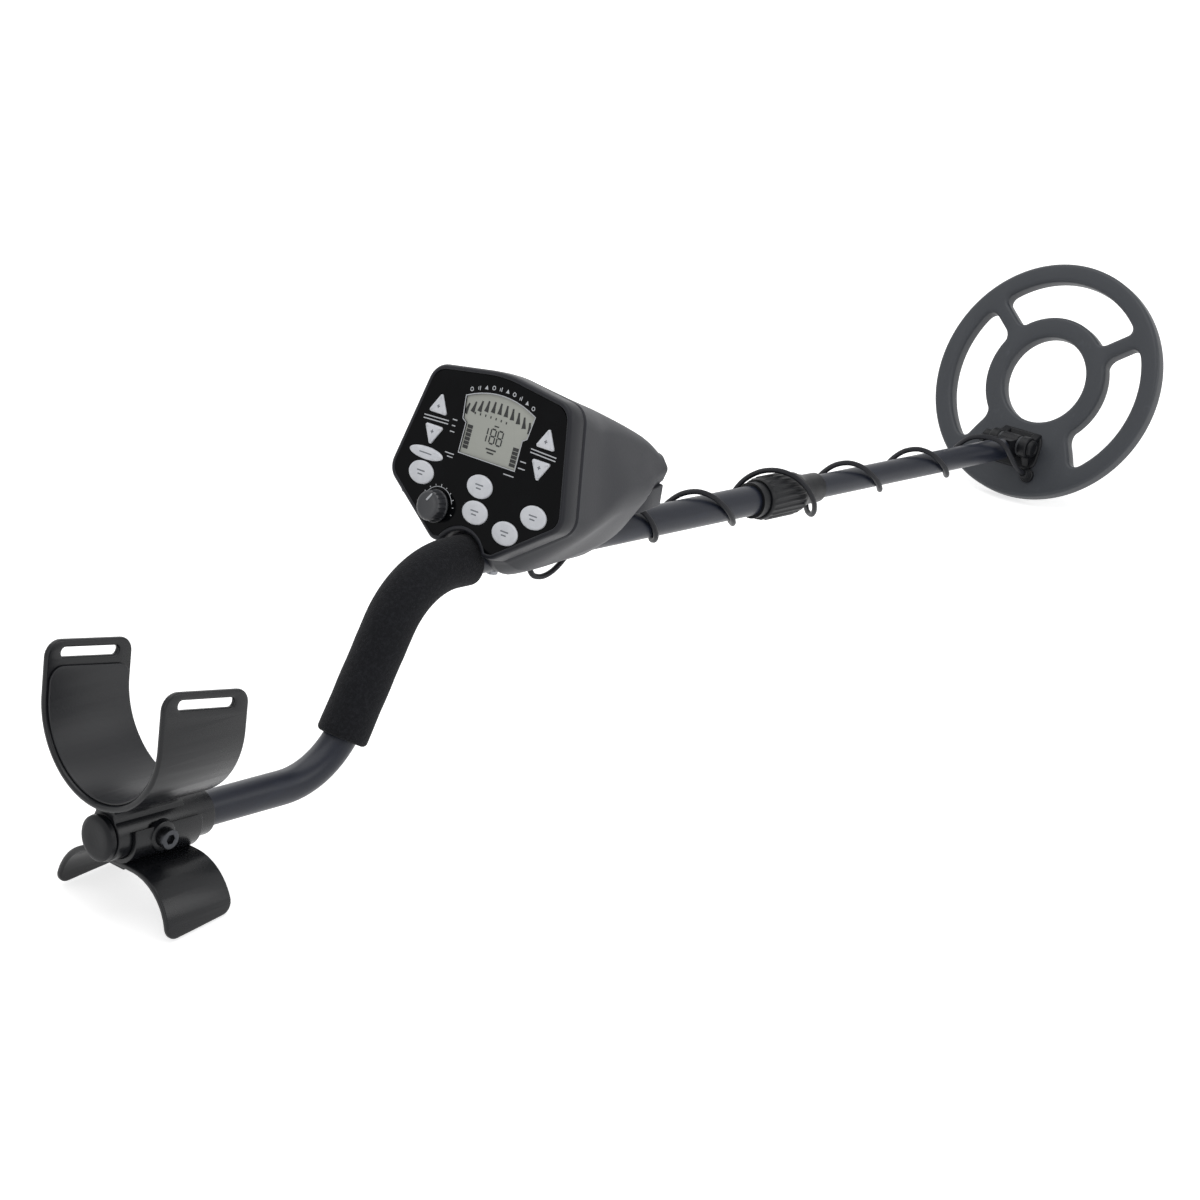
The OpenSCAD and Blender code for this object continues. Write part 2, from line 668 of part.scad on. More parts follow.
module housing_shell() {
    color("#2e3033") rod() difference() {
        union() {
            difference() {
                body_hull();
                intersection() {
                    body_hull(shell_wall);
                    translate([0, -face_w, floor_z]) cube([nose_x, 2 * face_w, face_h]);
                }
            }
            translate([door_back - 1, -12, tube_r - 1]) cube([tongue_x - door_back + 1, 24, door_low - clear - tube_r + 1]);
            intersection() {
                face() for (p = screw_pos) {
                    rod_x(4, frame_d, frame_d + post_l, p[0], p[1]);
                    slab_x(frame_d, frame_d + post_l) translate(p)
                        rotate(atan2(p[1] - face_mid, p[0])) translate([2.5, -1.2]) square([40, 2.4]);
                }
                body_hull();
            }
            for (x = screw_xs) translate([x, 0, tube_r]) cylinder(r = 5, h = 12);
        }
        rod_x(seat_r, 0, nose_x + 1);
        translate([0, -seat_r + 0.8, -40]) cube([nose_x + 1, 2 * seat_r - 1.6, 40]);
        face() for (p = screw_pos) rod_x(1.5, frame_d - 1, frame_d + post_l - 3, p[0], p[1]);
        for (x = screw_xs) translate([x, 0, 0]) cylinder(r = 2.05, h = 22);
        slab_x(door_back - clear, nose_x + 1) door_outline(-clear);
        rod_x(phone_r + 2.2, nose_x - 12, nose_x + 1, phone_pos[0], phone_pos[1]);
        translate([coil_plug_pos[0], coil_plug_pos[1], -20]) cylinder(r = 7.5, h = 60);
    }
}
module battery_door() {
    color("#303235") rod() difference() {
        slab_x(door_back, door_front) door_outline();
        slab_x(door_back - 1, door_front - door_wall) door_outline(door_wall);
        for (i = [0 : 3]) translate([door_front - 6 - 3 * i, -8, nose_low - 1.1]) cube([1.2, 16, 2]);
    }
}
module battery_tray() {
    color("#3a3c3f") rod() translate([bat_x - 6, -tray_w / 2, floor_z + 0.1]) difference() {
        cube([bat[0] + 8, tray_w, 12]);
        translate([tray_t, tray_t, tray_t]) cube([bat[0] + 8, tray_w - 2 * tray_t, 12]);
    }
}
module batteries() {
    color("#7d8085") rod() for (side = [-1, 1])
        translate([bat_x, side * (bat[1] / 2 + bat_gap) - bat[1] / 2, floor_z + 0.1 + tray_t]) cube(bat);
}
module battery_snaps() {
    color("#1c1c1e") rod() for (side = [-1, 1])
        translate([bat_x - 3.6, side * (bat[1] / 2 + bat_gap) - 10, floor_z + 3.4 + tray_t]) cube([3.6, 20, 11]);
}
module speaker() {
    color("#4b4e52") rod() face() {
        rod_x(17, board_x + board_t, board_x + board_t + 4, -22, 50);
        cone_x(17, 9, board_x + board_t + 4, board_x + board_t + 10, -22, 50);
    }
}
module headphone_socket() {
    color("#1f2022") rod() difference() {
        union() {
            rod_x(phone_r + 2.1, nose_x - 16, nose_x, phone_pos[0], phone_pos[1]);
            rod_x(7.4, nose_x, nose_x + 1.6, phone_pos[0], phone_pos[1]);
            rod_x(7.4, nose_x - 16, nose_x - shell_wall - 0.1, phone_pos[0], phone_pos[1]);
        }
        rod_x(phone_r, nose_x - 14, nose_x + 3, phone_pos[0], phone_pos[1]);
    }
}
module housing_screws() {
    color("#8c8f93") rod() for (x = screw_xs) {
        translate([x, 0, -tube_r - 2.4]) cylinder(r = 3.8, h = 2.4);
        translate([x, 0, -tube_r - 0.1]) cylinder(r = 2, h = 2 * tube_r + 10);
    }
}
module coil_socket() {
    color("#55585c") rod() translate([coil_plug_pos[0], coil_plug_pos[1], -8])
        cylinder(r = 7.3, h = floor_z + 8);
}
module cable_plug() {
    color("#26272a") rod() translate([coil_plug_pos[0], coil_plug_pos[1], 0]) difference() {
        union() {
            translate([0, 0, -16]) cylinder(r = 7, h = 8);
            translate([0, 0, -22]) cylinder(r1 = 3.4, r2 = 5.6, h = 6);
        }
        translate([0, 0, -23]) cylinder(r = cable_d / 2 + 0.1, h = 4);
    }
}

// ---------- locking collar and lower stem ----------

module lock_sleeve() {
    color("#17181a") rod() difference() {
        rod_x(lock_r, lock_back, front_run);
        rod_x(tube_r + slip, lock_back - 1, front_run + 1);
    }
}
module collet() {
    color("#3a3c40") rod() difference() {
        cone_x(13, 10.6, front_run + 0.3, front_run + 15);
        rod_x(stem_r + slip, front_run - 1, front_run + 16);
        translate([front_run + 4, -0.8, 0]) cube([20, 1.6, 20]);
    }
}
module lock_collar() {
    color("#1c1d20") rod() difference() {
        union() {
            rod_x(collar_d / 2, collar_back, front_run + 8);
            cone_x(collar_d / 2 - 1, stem_r + 2.4, front_run + 8, front_run + 22);
            rod_x(stem_r + 2.4, front_run + 22, collar_nose);
            for (a = [0 : 20 : 340]) rotate([a, 0, 0])
                rod_x(rib_r, collar_back + 4, front_run + 5, 0, collar_d / 2);
        }
        rod_x(lock_r + clear, collar_back - 1, front_run + 0.4);
        cone_x(13 + clear, 10.6 + clear, front_run + 0.3, front_run + 15.4);
        rod_x(stem_r + clear, front_run - 1, collar_nose + 1);
    }
}
module lower_stem() {
    color("#23262d") rod() difference() {
        rod_x(stem_r, front_run - stem_in, stem_tip_x);
        rod_x(stem_bore_r, front_run - stem_in - 1, stem_tip_x + 1);
    }
}
module stem_guide() {
    back = front_run - stem_in;
    color("#2c2d30") rod() {
        rod_x(stem_r, back - 4, back);
        rod_x(stem_bore_r - slip, back - 0.1, back + 20);
    }
}
module stem_yoke() {
    color("#1b1c1f") rod() difference() {
        union() {
            rod_x(stem_bore_r - slip, stem_tip_x - 30, stem_tip_x + 0.1);
            rod_x(stem_r, stem_tip_x, stem_tip_x + 3);
            translate([stem_tip_x + 1, -tongue_w / 2, yoke_rise - eye_r]) cube([yoke_reach - 1, tongue_w, 2 * eye_r - 3]);
            rod_y(eye_r, -tongue_w / 2, tongue_w / 2, hinge_x, yoke_rise);
        }
        rod_y(hinge_r + run, -tongue_w, tongue_w, hinge_x, yoke_rise);
    }
}

// ---------- search coil ----------

// Ring with rounded edges: top and bottom radii on its outer and inner edges
module ring(r0, r1, low, high, top_edge, low_edge) {
    rotate_extrude($fn = 128) polygon(rounded(
        [[r0, low], [r1, low], [r1, high], [r0, high]], [low_edge, low_edge, top_edge, top_edge], 4));
}
// Flat outline of the spokes and the rear web, between the two rings
module spokes() {
    mid_r = (hub_r + ring_in_r) / 2;
    reach = (ring_in_r - hub_r) / 2 + 3;
    for (a = [-spoke_angle, spoke_angle]) rotate(a) translate([mid_r, 0]) {
        square([2 * reach, spoke_w], center = true);
        for (side = [-1, 1]) for (end = [-1, 1]) translate([end * (reach - 3), side * spoke_w / 2])
            polygon([[-5 * end, 0], [0, 0], [3 * end, 0], [3 * end, side * 5], [0, side * 3.2], [-2 * end, side * 1]]);
    }
    polygon(concat(
        [for (i = [-8 : 8]) (hub_r - 3) * [cos(180 + web_angle * i / 8 * 1.15), sin(180 + web_angle * i / 8 * 1.15)]],
        [for (i = [8 : -1 : -8]) (ring_in_r + 3) * [cos(180 + web_angle * i / 8), sin(180 + web_angle * i / 8)]]));
}
module ears() {
    for (side = [-1, 1]) translate([-hinge_back, side * (ear_in + ear_t / 2), 0]) {
        slab_y(ear_t) polygon([[-14, -1], [-14, 1], [-ear_r, hinge_h + 1], [ear_r, hinge_h + 1], [14, 1], [14, -1]]);
        rod_y(ear_r, -ear_t / 2, ear_t / 2, 0, hinge_h);
    }
}
module coil_shell() {
    low = cover_t - coil_t;
    color("#303235") coil() difference() {
        union() {
            ring(ring_in_r, coil_r, low, 0, coil_top_edge, 0.1);
            ring(hub_in_r, hub_r, low, 0, coil_top_edge, 0.1);
            translate([0, 0, low]) linear_extrude(-low - 0.6) spokes();
            ears();
        }
        ring(ring_in_r + channel_wall, coil_r - channel_wall, low - 1, -channel_wall, 0.5, 0.1);
        ring(hub_in_r + channel_wall, hub_r - channel_wall, low - 1, -channel_wall, 0.5, 0.1);
        rod_y(hinge_r + run, -2 * ear_out, 2 * ear_out, -hinge_back, hinge_h);
        translate([gland_pos[0], gland_pos[1], low - 1]) cylinder(r = 3.1, h = coil_t);
    }
}
module coil_cover() {
    color("#2b2c2f") coil() {
        ring(ring_in_r, coil_r, -coil_t, cover_t - coil_t, 0.1, coil_edge - 0.1);
        ring(hub_in_r, hub_r, -coil_t, cover_t - coil_t, 0.1, coil_edge - 0.1);
        translate([0, 0, -coil_t + 0.4]) linear_extrude(cover_t - 0.4) spokes();
    }
}
module winding(r0, r1) {
    color("#a8632c") coil() ring(r0 + channel_wall + 0.6, r1 - channel_wall - 0.6,
        cover_t - coil_t + 0.05, cover_t - coil_t + winding_t, 1.2, 1.2);
}
module transmit_winding() {
    winding(ring_in_r, coil_r);
}
module receive_winding() {
    winding(hub_in_r, hub_r);
}
module cable_gland() {
    color("#1b1c1e") coil() translate([gland_pos[0], gland_pos[1], 0]) difference() {
        union() {
            translate([0, 0, -4]) cylinder(r = 3, h = 5);
            translate([0, 0, 0]) cylinder(r = 6, h = 3);
            translate([0, 0, 3]) cylinder(r1 = 5, r2 = 3.2, h = gland_h - 3);
        }
        translate([0, 0, gland_h - 4]) cylinder(r = cable_d / 2 + 0.1, h = 5);
    }
}
module hinge_washers() {
    color("#101112") rod() for (side = [-1, 1]) difference() {
        rod_y(8, side * (ear_in - 1.1) - 0.95, side * (ear_in - 1.1) + 0.95, hinge_x, yoke_rise);
        rod_y(hinge_r + slip, side * ear_in - 4, side * ear_in + 4, hinge_x, yoke_rise);
    }
}
module hinge_bolt() {
    color("#242528") rod() {
        rod_y(hinge_r, -ear_out - 1, ear_out + 9, hinge_x, yoke_rise);
        rod_y(7, -ear_out - 3.2, -ear_out - 0.1, hinge_x, yoke_rise);
        rod_y(5.4, -ear_out - 4.4, -ear_out - 3.2, hinge_x, yoke_rise);
    }
}
module hinge_nut() {
    color("#242528") rod() difference() {
        union() {
            rod_y(6, ear_out + clear, ear_out + 7, hinge_x, yoke_rise);
            translate([hinge_x, ear_out + 4.6, yoke_rise]) cube([22, 4, 5], center = true);
        }
        rod_y(hinge_r + run, ear_out - 1, ear_out + 8, hinge_x, yoke_rise);
    }
}

// ---------- cable ----------

// Point of the cable round the pole at an angle from the top, turning to the right-hand side
function wind_point(x, a, r) = [x, -r * sin(a), r * cos(a)];
function over(a) = max(0, cos(a));
// How far a turn stands off to pass over the locking collar, from 0 to 1
function over_collar(x) = max(0, min(1, (x - lock_back + 24) / 22, (collar_nose + 12 - x) / 24));
// The first half turn is tighter than the rest
first_turn = [for (a = [-60 : 30 : 150]) wind_point(first_low - (180 - a) / 6, a, wind_r + lift * pow(over(a), 2))];
even_turns = [
    for (i = [0 : wind_steps])
        let (
            a = 180 + i * 30,
            x = first_low + i * wind_pitch / 12,
            r = (x < lock_back ? wind_r : stem_wind_r) + lift * pow(over(a), 2)
        )
        wind_point(x, a, r + (max(r, collar_wind_r) - r) * over_collar(x))];
route = concat(lead_in, first_turn, even_turns, lead_out);

module tube_along(points, r, sides) {
    n = len(points);
    rings = [for (i = [0 : n - 1])
        let (
            t = unit(points[min(i + 1, n - 1)] - points[max(i - 1, 0)]),
            u = unit(cross(t, [0, 1, 0])),
            v = cross(t, u)
        )
        for (k = [0 : sides - 1]) points[i] + r * (u * cos(360 * k / sides) + v * sin(360 * k / sides))];
    polyhedron(rings, concat(
        [[for (k = [0 : sides - 1]) k]],
        [for (i = [0 : n - 2]) for (k = [0 : sides - 1]) let (a = i * sides, b = a + sides, m = (k + 1) % sides)
            each [[a + k, b + k, b + m], [a + k, b + m, a + m]]],
        [[for (k = [sides - 1 : -1 : 0]) (n - 1) * sides + k]]));
}
module search_cable() {
    color("#2a2b2e") rod() tube_along(route, cable_d / 2, 8);
}

upper_tube();
tube_end_cap();
foam_grip();
arm_cuff();
cuff_liner();
stand();
clamp_bolt();
clamp_nut();
housing_shell();
face_frame();
face_panel();
lcd_window();
lcd_module();
key_mat();
circuit_board();
face_screws();
potentiometer();
knob_shaft();
sensitivity_knob();
key_cap(KEYS[0]);  // mode_up_key
key_cap(KEYS[1]);  // mode_down_key
key_cap(KEYS[2]);  // tune_up_key
key_cap(KEYS[3]);  // tune_down_key
key_cap(KEYS[4]);  // notch_key
key_cap(KEYS[5]);  // power_key
key_cap(KEYS[6]);  // pinpoint_key
key_cap(KEYS[7]);  // tone_key
key_cap(KEYS[8]);  // accept_key
key_cap(KEYS[9]);  // reject_key
speaker();
headphone_socket();
battery_tray();
batteries();
battery_snaps();
battery_door();
housing_screws();
coil_socket();
cable_plug();
search_cable();
lock_sleeve();
collet();
lock_collar();
lower_stem();
stem_guide();
stem_yoke();
hinge_washers();
hinge_bolt();
hinge_nut();
coil_shell();
coil_cover();
transmit_winding();
receive_winding();
cable_gland();
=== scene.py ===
# Metal detector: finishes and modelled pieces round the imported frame. Lengths are millimetres in
# local frames, which the places below turn into metres in the row's frame.
import json
from math import asin, atan2, cos, degrees, hypot, pi, radians, sin, tan

import bmesh
import bpy
from mathutils import Matrix, Vector
from mathutils.geometry import tessellate_polygon


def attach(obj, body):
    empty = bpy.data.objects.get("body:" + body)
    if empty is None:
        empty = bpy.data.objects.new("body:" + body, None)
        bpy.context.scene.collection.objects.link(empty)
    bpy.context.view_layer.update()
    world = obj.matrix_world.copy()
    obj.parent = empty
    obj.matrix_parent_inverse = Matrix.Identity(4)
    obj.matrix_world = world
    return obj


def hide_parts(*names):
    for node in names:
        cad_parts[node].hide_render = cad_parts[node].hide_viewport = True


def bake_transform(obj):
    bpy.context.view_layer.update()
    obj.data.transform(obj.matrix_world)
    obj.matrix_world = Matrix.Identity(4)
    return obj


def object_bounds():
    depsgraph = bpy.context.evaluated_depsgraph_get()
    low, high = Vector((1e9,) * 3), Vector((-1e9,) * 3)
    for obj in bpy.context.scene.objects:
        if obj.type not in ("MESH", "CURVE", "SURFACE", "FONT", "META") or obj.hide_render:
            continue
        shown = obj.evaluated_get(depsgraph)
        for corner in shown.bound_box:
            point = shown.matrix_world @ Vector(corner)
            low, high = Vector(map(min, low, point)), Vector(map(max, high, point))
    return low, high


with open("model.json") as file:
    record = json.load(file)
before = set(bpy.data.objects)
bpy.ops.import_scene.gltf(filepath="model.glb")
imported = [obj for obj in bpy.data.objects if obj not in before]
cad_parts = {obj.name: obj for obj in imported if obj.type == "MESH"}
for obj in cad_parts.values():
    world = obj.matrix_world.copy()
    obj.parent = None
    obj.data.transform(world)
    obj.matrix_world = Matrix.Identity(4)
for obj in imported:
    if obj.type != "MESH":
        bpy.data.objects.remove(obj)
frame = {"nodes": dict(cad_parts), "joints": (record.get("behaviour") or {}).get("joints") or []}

cad_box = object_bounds()
scene = bpy.context.scene

# ---------- driving sizes, as the frame has them ----------

TUBE_R = 11.1
BORE_R = 9.1
STEM_R = 9.0
BEND_R = 60
GRIP_SLOPE = radians(64.4)
STEP_H = 128
FRONT_RUN = 402
REAR_RUN = 183
FOAM_R = 17
CUFF_LEN = 66
CUFF_WALL = 4
CUFF_IN_R = 50
CUFF_TOP = 109 - STEP_H
CUFF_FALL = tan(radians(8))
SLEEVE_R = 15
FACE_X = 41
FACE_LEAN = radians(12.5)
FRAME_D = 15
LIP_W = 3.4
NOTCH_R = FOAM_R + 3.5
PANEL_X = 0.4
WINDOW_X = 1.3
COIL_R = 101.6
COIL_T = 13.4
COVER_T = 2
RING_IN_R = 85.6
HUB_R = 54.5
HOLE_R = 37
COIL_SLOPE = radians(58.6)
HINGE_BACK = 61
HINGE_H = 11
HINGE_X = 716
HINGE_Z = 3
CABLE_R = 2

TANGENT = BEND_R * tan(GRIP_SLOPE / 2)
GRIP_LEN = STEP_H / sin(GRIP_SLOPE)
REAR_X = -GRIP_LEN * cos(GRIP_SLOPE)
TUBE_END = REAR_X - REAR_RUN
CLAMP_X = TUBE_END + 32
STAND_BACK = CLAMP_X - 21
STAND_LEN = 52

# ---------- places ----------

joints = {j["name"]: j for j in frame["joints"]}
forward = Vector(joints["stem_slide"]["axis"]).normalized()
left = Vector((0, 1, 0))
up = forward.cross(left)
hinge = Vector(joints["coil_tilt"]["pos_m"])
pitch = atan2(-forward.z, forward.x)


def turned(angle):
    return Matrix.Rotation(angle, 4, "Y")


def moved(x, y=0, z=0):
    return Matrix.Translation((x, y, z))


def along(x_to, y_to, z_to):
    """Sends a plan's own axes to three others, such as its height to the pole's X."""
    return Matrix((x_to, y_to, z_to)).transposed().to_4x4()


POLE = Matrix((forward, left, up)).transposed().to_4x4()
POLE.translation = hinge - forward * HINGE_X * 0.001 - up * HINGE_Z * 0.001
POLE = POLE @ Matrix.Scale(0.001, 4)
REAR = POLE @ moved(0, 0, -STEP_H)
FACE = POLE @ moved(FACE_X) @ turned(FACE_LEAN)
COIL = POLE @ moved(HINGE_X, 0, HINGE_Z) @ turned(-COIL_SLOPE - pitch) @ moved(HINGE_BACK, 0, -HINGE_H)
# A plan drawn in Y and Z, with its height along X
ACROSS = along((0, 1, 0), (0, 0, 1), (1, 0, 0))
# A turned piece's axis, which is its own X, laid along Y or Z
AXIS_Y = ACROSS
AXIS_Z = along((0, 0, 1), (1, 0, 0), (0, 1, 0))

# ---------- outlines ----------


def unit(v):
    return v / v.length


def rounded(points, radii, steps=6):
    """A polygon whose corners are rounded, each with its own radius."""
    made = []
    n = len(points)
    for i in range(n):
        p, before, after = (Vector(points[k % n]) for k in (i, i - 1, i + 1))
        a, b = unit(before - p), unit(after - p)
        half = a.angle(b) / 2
        r = radii[i % len(radii)]
        mid = p + unit(a + b) * r / sin(half)
        start = p + a * r / tan(half) - mid
        end = p + b * r / tan(half) - mid
        first = atan2(start.y, start.x)
        sweep = (atan2(end.y, end.x) - first + pi) % (2 * pi) - pi
        made += [mid + Vector((r * cos(first + sweep * s / steps), r * sin(first + sweep * s / steps)))
                 for s in range(steps + 1)]
    return made


def dense(loop, step):
    """The loop with no stretch longer than step."""
    made = []
    for i, p in enumerate(loop):
        q = loop[(i + 1) % len(loop)]
        parts = max(1, int((q - p).length / step + 0.999))
        made += [p.lerp(q, k / parts) for k in range(parts)]
    return made


def ellipse(a, b, at=(0, 0), n=48):
    return [Vector((at[0] + a * cos(2 * pi * i / n), at[1] + b * sin(2 * pi * i / n))) for i in range(n)]


def arc(r, first, last, n, at=(0, 0)):
    return [Vector((at[0] + r * cos(radians(first + (last - first) * i / n)),
                    at[1] + r * sin(radians(first + (last - first) * i / n)))) for i in range(n + 1)]


def box(w, h, at=(0, 0), turn=0, r=None):
    """A rectangle about a point, turned by degrees, its corners rounded where r is given."""
    corners = [Vector(c) for c in ((-w / 2, -h / 2), (w / 2, -h / 2), (w / 2, h / 2), (-w / 2, h / 2))]
    if r:
        corners = rounded(corners, [r], 4)
    spin = Matrix.Rotation(radians(turn), 2)
    return [spin @ c + Vector(at) for c in corners]


def area(loop):
    return sum(p.cross(loop[i - 1]) for i, p in enumerate(loop)) / -2


def facing(loop, ccw):
    return loop if (area(loop) > 0) == ccw else loop[::-1]


def inset(loop, d):
    """Each point moved to its left by d, so that both sides of a corner move as far."""
    made = []
    for i, p in enumerate(loop):
        a, b = p - loop[i - 1], loop[(i + 1) % len(loop)] - p
        na, nb = unit(Vector((-a.y, a.x))), unit(Vector((-b.y, b.x)))
        made.append(p + (na + nb) * d / max(0.3, 1 + na.dot(nb)))
    return made


def edge(r, low, high, steps=4, low_r=None):
    """Insets and heights of a plate's edge from low to high, rounded by low_r below and r above."""
    q = r if low_r is None else low_r
    turns = [pi / 2 * s / steps for s in range(steps + 1)]
    below = [(q * (1 - sin(t)), low + q * (1 - cos(t))) for t in turns]
    above = [(r * (1 - cos(t)), high - r * (1 - sin(t))) for t in turns]
    return below + above


# ---------- mesh making ----------

# Edges between faces that turn by more than CREASE look sharp
CREASE = radians(38)
# Faces that turn by less than this are joined, which clears slivers
SAME_PLANE = radians(0.4)


class Shape:
    """Points and faces that are gathered before they become one piece."""

    def __init__(self):
        self.points, self.faces = [], []

    def add(self, points, faces):
        first = len(self.points)
        self.points += [Vector(p) for p in points]
        self.faces += [tuple(first + k for k in f) for f in faces]
        return self

    def rings(self, rings, loop=False):
        """Rings of equal numbers of points joined by quads, capped at both ends unless they close."""
        n, count = len(rings[0]), len(rings)
        faces = []
        for i in range(count if loop else count - 1):
            a, b = i * n, (i + 1) % count * n
            faces += [(a + k, b + k, b + (k + 1) % n, a + (k + 1) % n) for k in range(n)]
        if not loop:
            faces += [tuple(range(n))[::-1], tuple((count - 1) * n + k for k in range(n))]
        return self.add([p for r in rings for p in r], faces)

    def slab(self, loops, profile):
        """A flat plate with holes: profile lists its edge's inset and height from one side to the other."""
        loops = [facing(loops[0], True)] + [facing(h, False) for h in loops[1:]]
        first, levels, total = len(self.points), len(profile), sum(len(loop) for loop in loops)
        for d, h in profile:
            for loop in loops:
                self.points += [Vector((p.x, p.y, h)) for p in inset(loop, d)]
        start = 0
        for loop in loops:
            n = len(loop)
            for level in range(levels - 1):
                a, b = first + level * total + start, first + (level + 1) * total + start
                self.faces += [(a + k, a + (k + 1) % n, b + (k + 1) % n, b + k) for k in range(n)]
            start += n
        for level in (0, levels - 1):
            d = profile[level][0]
            flat = [[Vector((p.x, p.y, 0)) for p in inset(loop, d)] for loop in loops]
            self.faces += [tuple(first + level * total + k for k in t) for t in tessellate_polygon(flat)]
        return self

    def turned(self, profile, segments=64, wave=None, loop=False):
        """A turned piece about its own X: profile lists places along X and radii."""
        angles = [2 * pi * k / segments for k in range(segments)]
        rings = []
        for x, r in profile:
            radii = [r + (wave(x, a) if wave else 0) for a in angles]
            rings.append([Vector((x, d * cos(a), d * sin(a))) for a, d in zip(angles, radii)])
        return self.rings(rings, loop)

    def swept(self, path, radii, sides=16, hollow=0):
        """A round bar along a path; hollow is the radius of its bore."""
        path = [Vector(p) for p in path]
        turns = [(cos(2 * pi * k / sides), sin(2 * pi * k / sides)) for k in range(sides)]
        normal, outer, inner = Vector((0, 1, 0)), [], []
        for i, p in enumerate(path):
            t = unit(path[min(i + 1, len(path) - 1)] - path[max(i - 1, 0)])
            normal = unit(normal - t * normal.dot(t))
            side = t.cross(normal)
            outer.append([p + (normal * c + side * s) * radii[i] for c, s in turns])
            inner.append([p + (normal * c + side * s) * hollow for c, s in turns])
        return self.rings(outer + inner[::-1] if hollow else outer, bool(hollow))

    def bent(self, cuts, axis, where):
        """Cut into strips across an axis, then each point moved by a function."""
        bm = bmesh.new()
        for p in self.points:
            bm.verts.new(p)
        bm.verts.ensure_lookup_table()
        for f in self.faces:
            bm.faces.new([bm.verts[k] for k in f])
        normal = Vector([1 if k == axis else 0 for k in range(3)])
        for c in cuts:
            whole = bm.verts[:] + bm.edges[:] + bm.faces[:]
            bmesh.ops.bisect_plane(bm, geom=whole, plane_co=normal * c, plane_no=normal)
        for v in bm.verts:
            v.co = where(v.co)
        bmesh.ops.dissolve_limit(bm, angle_limit=SAME_PLANE, verts=bm.verts[:], edges=bm.edges[:])
        bm.verts.index_update()
        self.points = [v.co.copy() for v in bm.verts]
        self.faces = [tuple(v.index for v in f.verts) for f in bm.faces]
        bm.free()
        return self

    def piece(self, name, place, finish, body=None, stands_for=(), slot=None):
        """Makes the object in its place and says what it rides and what it replaces; slot is not used."""
        mesh = bpy.data.meshes.new(name)
        mesh.from_pydata([place @ p for p in self.points], [], self.faces)
        bm = bmesh.new()
        bm.from_mesh(mesh)
        bmesh.ops.recalc_face_normals(bm, faces=bm.faces)
        bm.to_mesh(mesh)
        bm.free()
        mesh.shade_smooth()
        mesh.set_sharp_from_angle(angle=CREASE)
        mesh.materials.append(finish)
        made = bpy.data.objects.new(name, mesh)
        scene.collection.objects.link(made)
        if body:
            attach(made, body)
        if stands_for:
            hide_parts(*stands_for)
        return made


# ---------- finishes ----------


def colour(r, g, b):
    """A colour given as 0 to 255 on screen, in the shader's linear light."""
    def linear(c):
        return c / 12.92 if c <= 0.04045 else ((c + 0.055) / 1.055) ** 2.4
    return (linear(r / 255), linear(g / 255), linear(b / 255), 1)


class Link:
    """A shader socket that takes part in Python sums; each operator adds a Math node."""

    def __init__(self, paint, socket):
        self.paint, self.socket = paint, socket

    def math(self, kind, first, second):
        return self.paint.node("ShaderNodeMath", {"operation": kind}, {0: first, 1: second})

    def __add__(self, other):
        return self.math("ADD", self, other)

    def __sub__(self, other):
        return self.math("SUBTRACT", self, other)

    def __rsub__(self, other):
        return self.math("SUBTRACT", other, self)

    def __mul__(self, other):
        return self.math("MULTIPLY", self, other)

    __radd__ = __add__
    __rmul__ = __mul__

    def above(self, low, high):
        """0 below low, 1 above high, and a smooth step between them."""
        settings = {"interpolation_type": "SMOOTHSTEP"}
        inputs = {"Value": self, "From Min": low, "From Max": high}
        return self.paint.node("ShaderNodeMapRange", settings, inputs)


class Paint:
    """A procedural material under construction."""

    def __init__(self, name, base, rough, metal=0.0, **fixed):
        self.material = bpy.data.materials.new(name)
        self.material.use_nodes = True
        self.tree = self.material.node_tree
        self.shader = self.tree.nodes["Principled BSDF"]
        self.put("Base Color", base)
        self.put("Roughness", rough)
        self.put("Metallic", metal)
        for socket, value in fixed.items():
            self.put(socket.replace("_", " "), value)
        self.place = self.node("ShaderNodeTexCoord", {}, {}, "Object")

    def put(self, socket, value):
        if isinstance(value, Link):
            self.tree.links.new(value.socket, self.shader.inputs[socket])
        else:
            self.shader.inputs[socket].default_value = value

    def node(self, kind, settings, inputs, out=0):
        made = self.tree.nodes.new(kind)
        for name, value in settings.items():
            setattr(made, name, value)
        for name, value in inputs.items():
            if isinstance(value, Link):
                self.tree.links.new(value.socket, made.inputs[name])
            else:
                made.inputs[name].default_value = value
        return Link(self, made.outputs[out])

    def noise(self, scale, detail=2.0, rough=0.5):
        inputs = {"Vector": self.place, "Scale": scale, "Detail": detail, "Roughness": rough}
        return self.node("ShaderNodeTexNoise", {}, inputs, "Fac")

    def cells(self, scale, feature="F1"):
        inputs = {"Vector": self.place, "Scale": scale}
        return self.node("ShaderNodeTexVoronoi", {"feature": feature}, inputs, "Distance")

    def streaks(self, stretch, scale, detail=3.0):
        """Noise drawn out along one direction."""
        drawn = self.node("ShaderNodeMapping", {}, {"Vector": self.place, "Scale": stretch})
        inputs = {"Vector": drawn, "Scale": scale, "Detail": detail}
        return self.node("ShaderNodeTexNoise", {}, inputs, "Fac")

    def blend(self, share, a, b):
        return self.node("ShaderNodeMix", {"data_type": "RGBA"}, {0: share, 6: a, 7: b}, 2)

    def bump(self, height, depth, strength=1.0):
        inputs = {"Height": height, "Distance": depth, "Strength": strength}
        self.put("Normal", self.node("ShaderNodeBump", {}, inputs, "Normal"))


